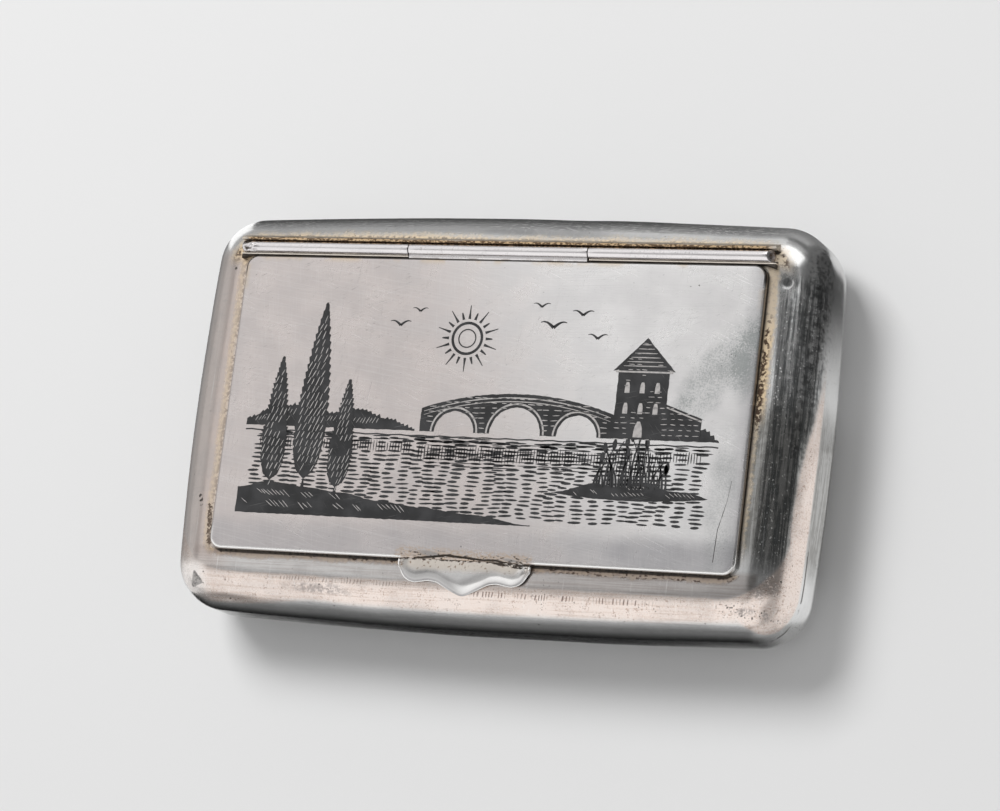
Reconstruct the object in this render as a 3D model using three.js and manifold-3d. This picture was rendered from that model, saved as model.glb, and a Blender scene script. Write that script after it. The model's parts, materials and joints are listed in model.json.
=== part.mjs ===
// Flat silver snuff box with a rolled shoulder and an inboard-hinged plate lid.
// Millimetres, +Z up. The box lies on its base with the lid on top, X along its long side,
// the hinge towards +Y and the thumbpiece towards -Y. The origin is under its middle.

import * as THREE from 'three';
import Module from 'manifold-3d';

const wasm = await Module();
wasm.setup();
const { Manifold, Mesh } = wasm;

// Case: two pressed shells that meet at a soldered seam under the shoulder.
const CASE_LENGTH = 81.4; // across the middles of the bowed ends
const CASE_WIDTH = 50.8; // across the middles of the bowed long sides
const CASE_DEPTH = 15.0; // base to flat rim
const END_BOW = 0.55; // how far each end bows outwards
const SIDE_BOW = 0.67; // how far each long side bows outwards
const CORNER_RADIUS = 6.0; // in plan
const SHOULDER_RADIUS = 5.2; // rolled edge round the rim
const BASE_EDGE_RADIUS = 5.8; // rolled edge round the base
const SHEET = 0.8; // silver sheet of both shells
const SEAM_HEIGHT = 9.3; // base to the seam between the shells

// Lid: a plate that lies on the rim, with a flange that drops into the mouth.
const LID_END_MARGIN = 6.7; // lid to the outermost point of each end of the case
const LID_FRONT_MARGIN = 7.4; // lid to the outermost point of the front
const LID_THICKNESS = 0.9;
const LID_CORNER_RADIUS = 1.6;
const LID_SEAT_GAP = 0.05; // lid above the rim
const LID_OVERLAP = 1.8; // how far the plate lies over the rim round the mouth
const FLANGE_CLEARANCE = 0.25; // flange inside the mouth
const FLANGE_THICKNESS = 0.6;
const FLANGE_DEPTH = 1.9;

// Mouth: the hole in the upper shell and the bezel soldered under its edge.
const MOUTH_CORNER_RADIUS = 2.2;
const BEZEL_THICKNESS = 0.7;
const BEZEL_DEPTH = 2.2;

// Hinge: three knuckles on one pin, the middle one on the lid.
const HINGE_REAR_MARGIN = 5.45; // axis to the outermost point of the back
const HINGE_AXIS_HEIGHT = 0.6; // axis above the flat rim
const HINGE_OVERHANG = 0.5; // hinge past each end of the lid
const KNUCKLE_RADIUS = 0.75;
const KNUCKLE_BORE_RADIUS = 0.4;
const PIN_CLEARANCE = 0.05; // radial, pin in bore
const MIDDLE_KNUCKLE_LENGTH = 23.4;
const MIDDLE_KNUCKLE_X = -0.45; // the middle knuckle sits a little to the left
const KNUCKLE_GAP = 0.1; // between neighbouring knuckles
const PIN_RECESS = 0.5; // pin end inside the open right knuckle
const PLUG_LENGTH = 0.35; // solder plug that closes the left knuckle
const WEB_TOP = 0.25; // web from lid to middle knuckle, above the axis
const WEB_BOTTOM = -0.35; // and below it
const WEB_ROOT = 0.6; // how near the axis the web reaches into the knuckle

// Bearer: a grooved strip let into the rim, which carries the outer knuckles.
const BEARER_CLEARANCE = 0.05; // groove round the knuckles
const BEARER_FRONT_LIP = 0.22; // thickness
const BEARER_REAR_LIP = 0.35;
const FRONT_LIP_HEIGHT = 0.1; // top of the front lip above the axis
const REAR_LIP_HEIGHT = 0.6; // top of the rear lip above the axis, the stop of the open lid
const LID_REAR_GAP = 0.08; // lid plate to the front lip
const NOTCH_FLOOR = -0.45; // front lip cut down behind the web, from the axis
const NOTCH_MARGIN = 0.15; // notch past each end of the middle knuckle
const BEARER_END_MARGIN = 0.05; // bearer past the plug and the open end

// Thumbpiece: a shaped lip soldered to the front edge of the lid, bent over the shoulder.
const THUMB_WIDTH = 17.0;
const THUMB_REACH = 4.3; // lid edge to the middle point
const THUMB_LOBE_REACH = 2.9; // lid edge to the side lobes
const THUMB_LOBE_X = 6.3;
const THUMB_VALLEY_REACH = 2.55; // lid edge to the hollow between lobe and point
const THUMB_VALLEY_X = 4.5;
const THUMB_SHEET = 0.5;
const THUMB_CLEARANCE = 0.3; // above rim and shoulder

// Steps of the curves.
const CORNER_STEPS = 8;
const SIDE_STEPS = 6;
const EDGE_STEPS = 7;
const ARC_STEPS = 6;
const TUBE_STEPS = 24;

// Sizes that follow from the ones above.
const LID_LENGTH = CASE_LENGTH - 2 * LID_END_MARGIN;
const LID_FRONT = -CASE_WIDTH / 2 + LID_FRONT_MARGIN;
const LID_UNDERSIDE = CASE_DEPTH + LID_SEAT_GAP;
const LID_TOP = LID_UNDERSIDE + LID_THICKNESS;
const HINGE_AXIS_Y = CASE_WIDTH / 2 - HINGE_REAR_MARGIN;
const HINGE_AXIS_Z = CASE_DEPTH + HINGE_AXIS_HEIGHT;
const HINGE_LENGTH = LID_LENGTH + 2 * HINGE_OVERHANG;
const GROOVE_RADIUS = KNUCKLE_RADIUS + BEARER_CLEARANCE;
const BEARER_FRONT = HINGE_AXIS_Y - GROOVE_RADIUS - BEARER_FRONT_LIP;
const BEARER_REAR = HINGE_AXIS_Y + GROOVE_RADIUS + BEARER_REAR_LIP;
const BEARER_HALF_LENGTH = HINGE_LENGTH / 2 + PLUG_LENGTH + BEARER_END_MARGIN;
const LID_REAR = BEARER_FRONT - LID_REAR_GAP;
const MIDDLE_LEFT = MIDDLE_KNUCKLE_X - MIDDLE_KNUCKLE_LENGTH / 2;
const MIDDLE_RIGHT = MIDDLE_KNUCKLE_X + MIDDLE_KNUCKLE_LENGTH / 2;
const SHOULDER_CENTRE_Y = -(CASE_WIDTH / 2 - SHOULDER_RADIUS);
const SHOULDER_CENTRE_Z = CASE_DEPTH - SHOULDER_RADIUS;

// The axes of a profile drawn in Y and Z and drawn out along X.
const ALONG_X = new THREE.Matrix4().makeBasis(
  new THREE.Vector3(0, 1, 0),
  new THREE.Vector3(0, 0, 1),
  new THREE.Vector3(1, 0, 0),
);

/** Closed solid from triangles, with shared vertices merged. */
function solidFrom(geometry) {
  const position = geometry.getAttribute('position');
  const index = geometry.getIndex();
  const count = index ? index.count : position.count;
  const triVerts = Uint32Array.from({ length: count }, (_, i) => (index ? index.getX(i) : i));
  const mesh = new Mesh({ numProp: 3, vertProperties: Float32Array.from(position.array), triVerts });
  mesh.merge();
  return new Manifold(mesh);
}

/** Geometry with flat-shaded faces from a finished solid. */
function geometryOf(solid) {
  const { vertProperties, triVerts, numProp } = solid.getMesh();
  const geometry = new THREE.BufferGeometry();
  const corners = new Float32Array(triVerts.length * 3);
  triVerts.forEach((vertex, i) => {
    corners.set(vertProperties.subarray(vertex * numProp, vertex * numProp + 3), i * 3);
  });
  geometry.setAttribute('position', new THREE.BufferAttribute(corners, 3));
  geometry.computeVertexNormals();
  return geometry;
}

/** Box between two corners. */
function block(x0, y0, z0, x1, y1, z1) {
  return solidFrom(
    new THREE.BoxGeometry(x1 - x0, y1 - y0, z1 - z0).translate((x0 + x1) / 2, (y0 + y1) / 2, (z0 + z1) / 2),
  );
}

/** Rectangle with round corners, as a shape in plan. */
function roundedRectangle(x0, y0, x1, y1, radius) {
  const shape = new THREE.Shape();
  shape.absarc(x1 - radius, y0 + radius, radius, -Math.PI / 2, 0);
  shape.absarc(x1 - radius, y1 - radius, radius, 0, Math.PI / 2);
  shape.absarc(x0 + radius, y1 - radius, radius, Math.PI / 2, Math.PI);
  shape.absarc(x0 + radius, y0 + radius, radius, Math.PI, 1.5 * Math.PI);
  shape.closePath();
  return shape;
}

/** Upright prism of a plan shape between two heights. */
function prism(shape, z0, z1) {
  const options = { depth: z1 - z0, bevelEnabled: false, curveSegments: ARC_STEPS };
  return solidFrom(new THREE.ExtrudeGeometry(shape, options).translate(0, 0, z0));
}

/** Bar along X whose cross-section is a shape drawn in Y and Z. */
function bar(shape, x0, x1, curveSegments = TUBE_STEPS) {
  const options = { depth: x1 - x0, bevelEnabled: false, curveSegments };
  return solidFrom(new THREE.ExtrudeGeometry(shape, options).applyMatrix4(ALONG_X).translate(x0, 0, 0));
}

/** Round bar or tube on the hinge axis. */
function hingeBar(x0, x1, radius, boreRadius = 0) {
  const shape = new THREE.Shape().absarc(HINGE_AXIS_Y, HINGE_AXIS_Z, radius, 0, 2 * Math.PI);
  if (boreRadius > 0) {
    shape.holes.push(new THREE.Path().absarc(HINGE_AXIS_Y, HINGE_AXIS_Z, boreRadius, 0, 2 * Math.PI, true));
  }
  return bar(shape, x0, x1);
}

/** Plan outline of the case, moved inwards: four bowed sides that run smoothly into the corners. */
function caseOutline(inset) {
  const centreX = CASE_LENGTH / 2 - END_BOW - CORNER_RADIUS;
  const centreY = CASE_WIDTH / 2 - SIDE_BOW - CORNER_RADIUS;
  const radius = CORNER_RADIUS - inset;
  const endTilt = Math.atan((2 * END_BOW) / centreY);
  const sideTilt = Math.atan((2 * SIDE_BOW) / centreX);
  const endX = centreX + radius * Math.cos(endTilt);
  const endY = centreY + radius * Math.sin(endTilt);
  const sideX = centreX + radius * Math.sin(sideTilt);
  const sideY = centreY + radius * Math.cos(sideTilt);

  const half = [];
  for (let i = 0; i < SIDE_STEPS; i++) {
    const t = (2 * i) / SIDE_STEPS - 1;
    half.push([endX + END_BOW * (1 - t * t), endY * t]);
  }
  for (let i = 0; i < CORNER_STEPS; i++) {
    const angle = THREE.MathUtils.lerp(endTilt, Math.PI / 2 - sideTilt, i / CORNER_STEPS);
    half.push([centreX + radius * Math.cos(angle), centreY + radius * Math.sin(angle)]);
  }
  for (let i = 0; i < SIDE_STEPS; i++) {
    const t = 1 - (2 * i) / SIDE_STEPS;
    half.push([sideX * t, sideY + SIDE_BOW * (1 - t * t)]);
  }
  for (let i = 0; i < CORNER_STEPS; i++) {
    const angle = THREE.MathUtils.lerp(Math.PI / 2 + sideTilt, Math.PI - endTilt, i / CORNER_STEPS);
    half.push([-centreX + radius * Math.cos(angle), centreY + radius * Math.sin(angle)]);
  }
  return [...half, ...half.map(([x, y]) => [-x, -y])];
}

/** Insets and heights of the rings up a case wall, with both rolled edges. */
function caseProfile(inset, bottom, top, baseRadius, shoulderRadius) {
  const rings = [];
  for (let i = 0; i <= EDGE_STEPS; i++) {
    const angle = (i / EDGE_STEPS) * (Math.PI / 2);
    rings.push([inset + baseRadius * (1 - Math.sin(angle)), bottom + baseRadius * (1 - Math.cos(angle))]);
  }
  for (let i = 0; i <= EDGE_STEPS; i++) {
    const angle = (i / EDGE_STEPS) * (Math.PI / 2);
    rings.push([inset + shoulderRadius * (1 - Math.cos(angle)), top - shoulderRadius * (1 - Math.sin(angle))]);
  }
  return rings;
}

/** Pillow-like solid through a stack of outlines, closed by a flat face at each end. */
function caseSolid(inset, bottom, top) {
  const rings = caseProfile(inset, bottom, top, BASE_EDGE_RADIUS - inset, SHOULDER_RADIUS - inset);
  const outlines = rings.map(([ringInset, z]) => caseOutline(ringInset).map(([x, y]) => [x, y, z]));
  const count = outlines[0].length;
  const foot = outlines.length * count;
  const vertices = [...outlines.flat(2), 0, 0, bottom, 0, 0, top];
  const triangles = [];
  for (let i = 0; i < count; i++) {
    const next = (i + 1) % count;
    for (let ring = 0; ring + 1 < outlines.length; ring++) {
      const [low, high] = [ring * count, (ring + 1) * count];
      triangles.push(low + i, low + next, high + next, low + i, high + next, high + i);
    }
    triangles.push(foot, next, i, foot + 1, foot - count + i, foot - count + next);
  }
  const geometry = new THREE.BufferGeometry();
  geometry.setAttribute('position', new THREE.Float32BufferAttribute(vertices, 3));
  geometry.setIndex(triangles);
  return solidFrom(geometry);
}

/** Plan of the mouth, grown or shrunk all round. */
function mouthShape(grow = 0) {
  return roundedRectangle(
    -LID_LENGTH / 2 + LID_OVERLAP - grow,
    LID_FRONT + LID_OVERLAP - grow,
    LID_LENGTH / 2 - LID_OVERLAP + grow,
    LID_REAR - LID_OVERLAP + grow,
    MOUTH_CORNER_RADIUS + grow,
  );
}

/** Both shells as one hollow body, before the mouth is cut and the seam parts them. */
function hollowCase() {
  return caseSolid(0, 0, CASE_DEPTH).subtract(caseSolid(SHEET, SHEET, CASE_DEPTH - SHEET));
}

/** Rim, rolled shoulder and upper wall, with the mouth and the slot for the bearer. */
function upperShell() {
  const mouth = prism(mouthShape(), SEAM_HEIGHT, CASE_DEPTH + 1);
  const slot = block(
    -BEARER_HALF_LENGTH, BEARER_FRONT, SEAM_HEIGHT, BEARER_HALF_LENGTH, BEARER_REAR, CASE_DEPTH + 1,
  );
  return hollowCase().trimByPlane([0, 0, 1], SEAM_HEIGHT).subtract(mouth).subtract(slot);
}

/** Base, rolled base edge and lower wall. */
function lowerShell() {
  return hollowCase().trimByPlane([0, 0, -1], -SEAM_HEIGHT);
}

/** Upright frame soldered under the edge of the mouth. */
function mouthBezel() {
  const underside = CASE_DEPTH - SHEET;
  const outside = prism(mouthShape(BEZEL_THICKNESS), underside - BEZEL_DEPTH, underside);
  return outside.subtract(prism(mouthShape(), underside - BEZEL_DEPTH - 1, underside + 1));
}

/** Grooved strip under the knuckles, notched in front where the web of the lid swings. */
function hingeBearer() {
  const bottom = CASE_DEPTH - SHEET;
  const shape = new THREE.Shape();
  shape.moveTo(BEARER_FRONT, bottom);
  shape.lineTo(BEARER_REAR, bottom);
  shape.lineTo(BEARER_REAR, HINGE_AXIS_Z + REAR_LIP_HEIGHT);
  shape.lineTo(HINGE_AXIS_Y + GROOVE_RADIUS, HINGE_AXIS_Z + REAR_LIP_HEIGHT);
  shape.absarc(HINGE_AXIS_Y, HINGE_AXIS_Z, GROOVE_RADIUS, 0, -Math.PI, true);
  shape.lineTo(HINGE_AXIS_Y - GROOVE_RADIUS, HINGE_AXIS_Z + FRONT_LIP_HEIGHT);
  shape.lineTo(BEARER_FRONT, HINGE_AXIS_Z + FRONT_LIP_HEIGHT);
  shape.closePath();
  const notch = block(
    MIDDLE_LEFT - NOTCH_MARGIN, BEARER_FRONT - 1, HINGE_AXIS_Z + NOTCH_FLOOR,
    MIDDLE_RIGHT + NOTCH_MARGIN, HINGE_AXIS_Y, HINGE_AXIS_Z + KNUCKLE_RADIUS,
  );
  return bar(shape, -BEARER_HALF_LENGTH, BEARER_HALF_LENGTH, TUBE_STEPS / 2).subtract(notch);
}

/** Outer knuckle at the left end of the hinge. */
function leftKnuckle() {
  return hingeBar(-HINGE_LENGTH / 2, MIDDLE_LEFT - KNUCKLE_GAP, KNUCKLE_RADIUS, KNUCKLE_BORE_RADIUS);
}

/** Outer knuckle at the right end of the hinge. */
function rightKnuckle() {
  return hingeBar(MIDDLE_RIGHT + KNUCKLE_GAP, HINGE_LENGTH / 2, KNUCKLE_RADIUS, KNUCKLE_BORE_RADIUS);
}

/** Middle knuckle with the web that joins it to the rear edge of the lid. */
function middleKnuckle() {
  const web = block(
    MIDDLE_LEFT, LID_REAR, HINGE_AXIS_Z + WEB_BOTTOM,
    MIDDLE_RIGHT, HINGE_AXIS_Y - WEB_ROOT, HINGE_AXIS_Z + WEB_TOP,
  );
  return hingeBar(MIDDLE_LEFT, MIDDLE_RIGHT, KNUCKLE_RADIUS, KNUCKLE_BORE_RADIUS).add(web);
}

/** Pin through all three knuckles, seated against the plug. */
function hingePin() {
  return hingeBar(-HINGE_LENGTH / 2, HINGE_LENGTH / 2 - PIN_RECESS, KNUCKLE_BORE_RADIUS - PIN_CLEARANCE);
}

/** Plug that closes the left end of the hinge. */
function hingePlug() {
  return hingeBar(-HINGE_LENGTH / 2 - PLUG_LENGTH, -HINGE_LENGTH / 2, KNUCKLE_RADIUS);
}

/** Flat plate of the lid. */
function lidPlate() {
  const shape = roundedRectangle(-LID_LENGTH / 2, LID_FRONT, LID_LENGTH / 2, LID_REAR, LID_CORNER_RADIUS);
  return prism(shape, LID_UNDERSIDE, LID_TOP);
}

/** Frame under the lid that drops into the mouth. */
function lidFlange() {
  const outside = prism(mouthShape(-FLANGE_CLEARANCE), LID_UNDERSIDE - FLANGE_DEPTH, LID_UNDERSIDE);
  const inside = mouthShape(-FLANGE_CLEARANCE - FLANGE_THICKNESS);
  return outside.subtract(prism(inside, LID_UNDERSIDE - FLANGE_DEPTH - 1, LID_UNDERSIDE + 1));
}

/** Half of the outline of the thumbpiece, from the lid edge to its middle point. */
function thumbEdge(shape, side) {
  const tip = LID_FRONT - THUMB_REACH;
  const lobe = LID_FRONT - THUMB_LOBE_REACH;
  const valley = LID_FRONT - THUMB_VALLEY_REACH;
  const points = [
    [THUMB_WIDTH / 2, LID_FRONT],
    [THUMB_WIDTH / 2 - 0.2, lobe + 0.9],
    [THUMB_LOBE_X, lobe],
    [THUMB_VALLEY_X, valley],
    [THUMB_VALLEY_X / 2, (valley + tip) / 2 - 0.1],
    [0, tip],
  ];
  const curve = new THREE.CatmullRomCurve3(points.map(([x, y]) => new THREE.Vector3(side * x, y, 0)));
  const samples = curve.getPoints(3 * ARC_STEPS);
  (side < 0 ? samples : samples.reverse()).forEach(({ x, y }, i) => {
    if (side < 0 && i === 0) shape.moveTo(x, y);
    else if (side < 0 || i > 0) shape.lineTo(x, y);
  });
}

/** Lip of the lid: the shaped plan cut out of a sheet that follows rim and shoulder. */
function thumbpiece() {
  const plan = new THREE.Shape();
  thumbEdge(plan, -1);
  thumbEdge(plan, 1);
  plan.closePath();

  const inner = SHOULDER_RADIUS + THUMB_CLEARANCE;
  const sheet = new THREE.Shape();
  sheet.moveTo(LID_FRONT, SHOULDER_CENTRE_Z + inner);
  sheet.lineTo(LID_FRONT, SHOULDER_CENTRE_Z + inner + THUMB_SHEET);
  sheet.absarc(SHOULDER_CENTRE_Y, SHOULDER_CENTRE_Z, inner + THUMB_SHEET, Math.PI / 2, Math.PI * 0.75);
  sheet.absarc(SHOULDER_CENTRE_Y, SHOULDER_CENTRE_Z, inner, Math.PI * 0.75, Math.PI / 2, true);
  sheet.closePath();
  return bar(sheet, -THUMB_WIDTH, THUMB_WIDTH, 2 * ARC_STEPS).intersect(prism(plan, SEAM_HEIGHT, LID_TOP));
}

const SILVER = { color: 0xc9c1bf, roughness: 0.3, metalness: 1.0 };
const WARM_SILVER = { color: 0xcdbdb4, roughness: 0.32, metalness: 1.0 };
const BRIGHT_SILVER = { color: 0xdedde0, roughness: 0.2, metalness: 1.0 };
const DULL_SILVER = { color: 0xa8a29c, roughness: 0.45, metalness: 1.0 };
const PIN_METAL = { color: 0x6d655c, roughness: 0.5, metalness: 1.0 };

const PIECES = {
  upper_shell: [upperShell, WARM_SILVER],
  lower_shell: [lowerShell, WARM_SILVER],
  mouth_bezel: [mouthBezel, DULL_SILVER],
  hinge_bearer: [hingeBearer, DULL_SILVER],
  hinge_knuckle_left: [leftKnuckle, BRIGHT_SILVER],
  hinge_knuckle_right: [rightKnuckle, BRIGHT_SILVER],
  hinge_pin: [hingePin, PIN_METAL],
  hinge_plug: [hingePlug, BRIGHT_SILVER],
  lid_plate: [lidPlate, SILVER],
  lid_flange: [lidFlange, DULL_SILVER],
  hinge_knuckle_middle: [middleKnuckle, BRIGHT_SILVER],
  thumbpiece: [thumbpiece, WARM_SILVER],
};

const snuffBox = new THREE.Group();
snuffBox.name = 'snuff_box';
for (const [name, [makeSolid, finish]] of Object.entries(PIECES)) {
  const mesh = new THREE.Mesh(geometryOf(makeSolid()), new THREE.MeshStandardMaterial(finish));
  mesh.name = name;
  snuffBox.add(mesh);
}

export default snuffBox;
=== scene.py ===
"""Looks of a flat silver snuff box: worn silver shells, a hinged plate lid and a niello landscape."""

import json
import logging
import random
from dataclasses import dataclass, field
from enum import Enum
from math import asin, atan, cos, exp, hypot, inf, pi, radians, sin, tan
from typing import Any, Callable, Iterable, Sequence

import bmesh
import bpy
from bpy.types import ID, Material, Mesh, Node, NodeSocket, NodeTree, Object
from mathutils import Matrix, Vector, noise


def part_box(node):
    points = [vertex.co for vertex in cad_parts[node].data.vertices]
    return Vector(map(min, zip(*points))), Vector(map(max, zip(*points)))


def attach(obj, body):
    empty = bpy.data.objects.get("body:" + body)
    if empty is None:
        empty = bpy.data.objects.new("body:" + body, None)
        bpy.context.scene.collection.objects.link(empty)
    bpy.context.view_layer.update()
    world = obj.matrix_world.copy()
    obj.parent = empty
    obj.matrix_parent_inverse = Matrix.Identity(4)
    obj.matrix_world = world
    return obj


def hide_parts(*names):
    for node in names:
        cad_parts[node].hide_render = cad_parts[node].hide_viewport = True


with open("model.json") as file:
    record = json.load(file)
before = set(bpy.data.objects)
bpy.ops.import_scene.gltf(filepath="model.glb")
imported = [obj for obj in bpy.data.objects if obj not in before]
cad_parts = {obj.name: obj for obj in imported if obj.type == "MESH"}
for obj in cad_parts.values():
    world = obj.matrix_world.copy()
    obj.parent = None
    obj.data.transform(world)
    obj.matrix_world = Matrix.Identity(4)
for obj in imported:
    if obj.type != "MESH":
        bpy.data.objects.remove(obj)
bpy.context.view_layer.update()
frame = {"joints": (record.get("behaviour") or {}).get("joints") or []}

MM = 0.001
NOISE_SEED = 7
WHITE = (1.0, 1.0, 1.0, 1.0)
LOG = logging.getLogger("snuff_box")
Plan = tuple[float, float]
Point = tuple[float, float, float]
Colour = tuple[float, float, float]
Values = dict[Any, Any] | None


class Body(Enum):
    """The two rigid bodies of the box."""

    CASE = "case"
    LID = "lid"


class Ends(Enum):
    """How the first and last ring of a lofted skin are closed."""

    JOINED = "joined"
    POLES = "poles"
    FLAT = "flat"


# Shader and node maths


def joined(operation: str, reflected: bool = False) -> Callable[["Signal", Any], "Signal"]:
    """Method that joins a signal and another value with a math node.

    Args:
        operation: the math node's operation.
        reflected: True where the other value comes first.

    Returns:
        The method.
    """

    def method(self: "Signal", other: Any) -> "Signal":
        """The operation's result."""
        return self.graph.math(operation, *((other, self) if reflected else (self, other)))

    return method


class Signal:
    """A node output that can be used in Python expressions."""

    __add__ = __radd__ = joined("ADD")
    __sub__ = joined("SUBTRACT")
    __rsub__ = joined("SUBTRACT", reflected=True)
    __mul__ = __rmul__ = joined("MULTIPLY")
    __truediv__ = joined("DIVIDE")
    __pow__ = joined("POWER")
    most = joined("MAXIMUM")
    least = joined("MINIMUM")

    def __init__(self, graph: "Graph", socket: NodeSocket) -> None:
        """Wraps an output socket of a node in the graph."""
        self.graph = graph
        self.socket = socket

    def __neg__(self) -> "Signal":
        """Value with its sign changed."""
        return self * -1.0

    def __abs__(self) -> "Signal":
        """Absolute value."""
        return self.graph.math("ABSOLUTE", self)

    def swing(self, amount: Any) -> "Signal":
        """Noise about 0.5 as a shift about 0, an amount wide."""
        return (self - 0.5) * amount


class Graph:
    """A node tree under construction."""

    def __init__(self, tree: NodeTree) -> None:
        """Starts on an empty or cleared tree."""
        self.tree = tree

    def make(self, kind: str, settings: Values = None, inputs: Values = None) -> Node:
        """Makes a node.

        Args:
            kind: the node's type.
            settings: its properties, and "stops" for a colour ramp.
            inputs: value or Signal for each input, by name or index.

        Returns:
            The node.
        """
        node = self.tree.nodes.new(kind)
        for name, value in (settings or {}).items():
            if name == "stops":
                for element in list(node.color_ramp.elements)[1:]:
                    node.color_ramp.elements.remove(element)
                for index, (place, colour) in enumerate(value):
                    elements = node.color_ramp.elements
                    element = elements[0] if index == 0 else elements.new(place)
                    element.position, element.color = place, (*colour, 1.0)
            else:
                setattr(node, name, value)
        for key, value in (inputs or {}).items():
            if isinstance(value, Signal):
                self.tree.links.new(value.socket, node.inputs[key])
            else:
                node.inputs[key].default_value = value
        return node

    def node(self, kind: str, settings: Values = None, inputs: Values = None, output: Any = 0) -> Signal:
        """Makes a node as make() does, and returns one of its outputs."""
        return Signal(self, self.make(kind, settings, inputs).outputs[output])

    def math(self, operation: str, *values: Any) -> Signal:
        """Math node on numbers and signals."""
        return self.node("ShaderNodeMath", {"operation": operation}, dict(enumerate(values)))

    def vectors(self, operation: str, first: Any, second: Any, output: int = 0) -> Signal:
        """Vector math node on two vectors; its output 1 is a number."""
        return self.node("ShaderNodeVectorMath", {"operation": operation}, {0: first, 1: second}, output)

    def scaled(self, vector: Any, size: Any) -> Signal:
        """Vector times a number."""
        return self.node("ShaderNodeVectorMath", {"operation": "SCALE"}, {0: vector, "Scale": size})

    def split(self, vector: Signal) -> tuple[Signal, ...]:
        """X, Y and Z of a vector."""
        parts = self.make("ShaderNodeSeparateXYZ", inputs={0: vector})
        return tuple(Signal(self, output) for output in parts.outputs)

    def step(self, value: Signal, low: float, high: float) -> Signal:
        """Smooth step from 0 at low to 1 at high."""
        return self.node(
            "ShaderNodeMapRange",
            {"interpolation_type": "SMOOTHSTEP"},
            {"Value": value, "From Min": low, "From Max": high, "To Min": 0.0, "To Max": 1.0},
        )

    def fall(self, value: Signal, low: float, high: float) -> Signal:
        """Smooth step from 1 at low to 0 at high."""
        return 1.0 - self.step(value, low, high)

    def mix(self, factor: Any, first: Any, second: Any) -> Signal:
        """Colour that goes from first to second as factor goes from 0 to 1."""
        colours = [(*c, 1.0) if isinstance(c, tuple) else c for c in (first, second)]
        return self.node("ShaderNodeMix", {"data_type": "RGBA"}, {0: factor, 6: colours[0], 7: colours[1]}, 2)

    def coats(self, base: Any, coats: Iterable[tuple[Any, Any]]) -> Signal:
        """Colour under a stack of coats, each with its strength and its own colour."""
        for strength, colour in coats:
            base = self.mix(strength, base, colour)
        return base


@dataclass(frozen=True)
class Patch:
    """Cloudy patch of a finish: its middle and half sizes in plan, and its turn in degrees."""

    centre: Plan
    radii: Plan
    angle: float = 0.0
    ragged: float = 0.5
    strength: float = 1.0


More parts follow.
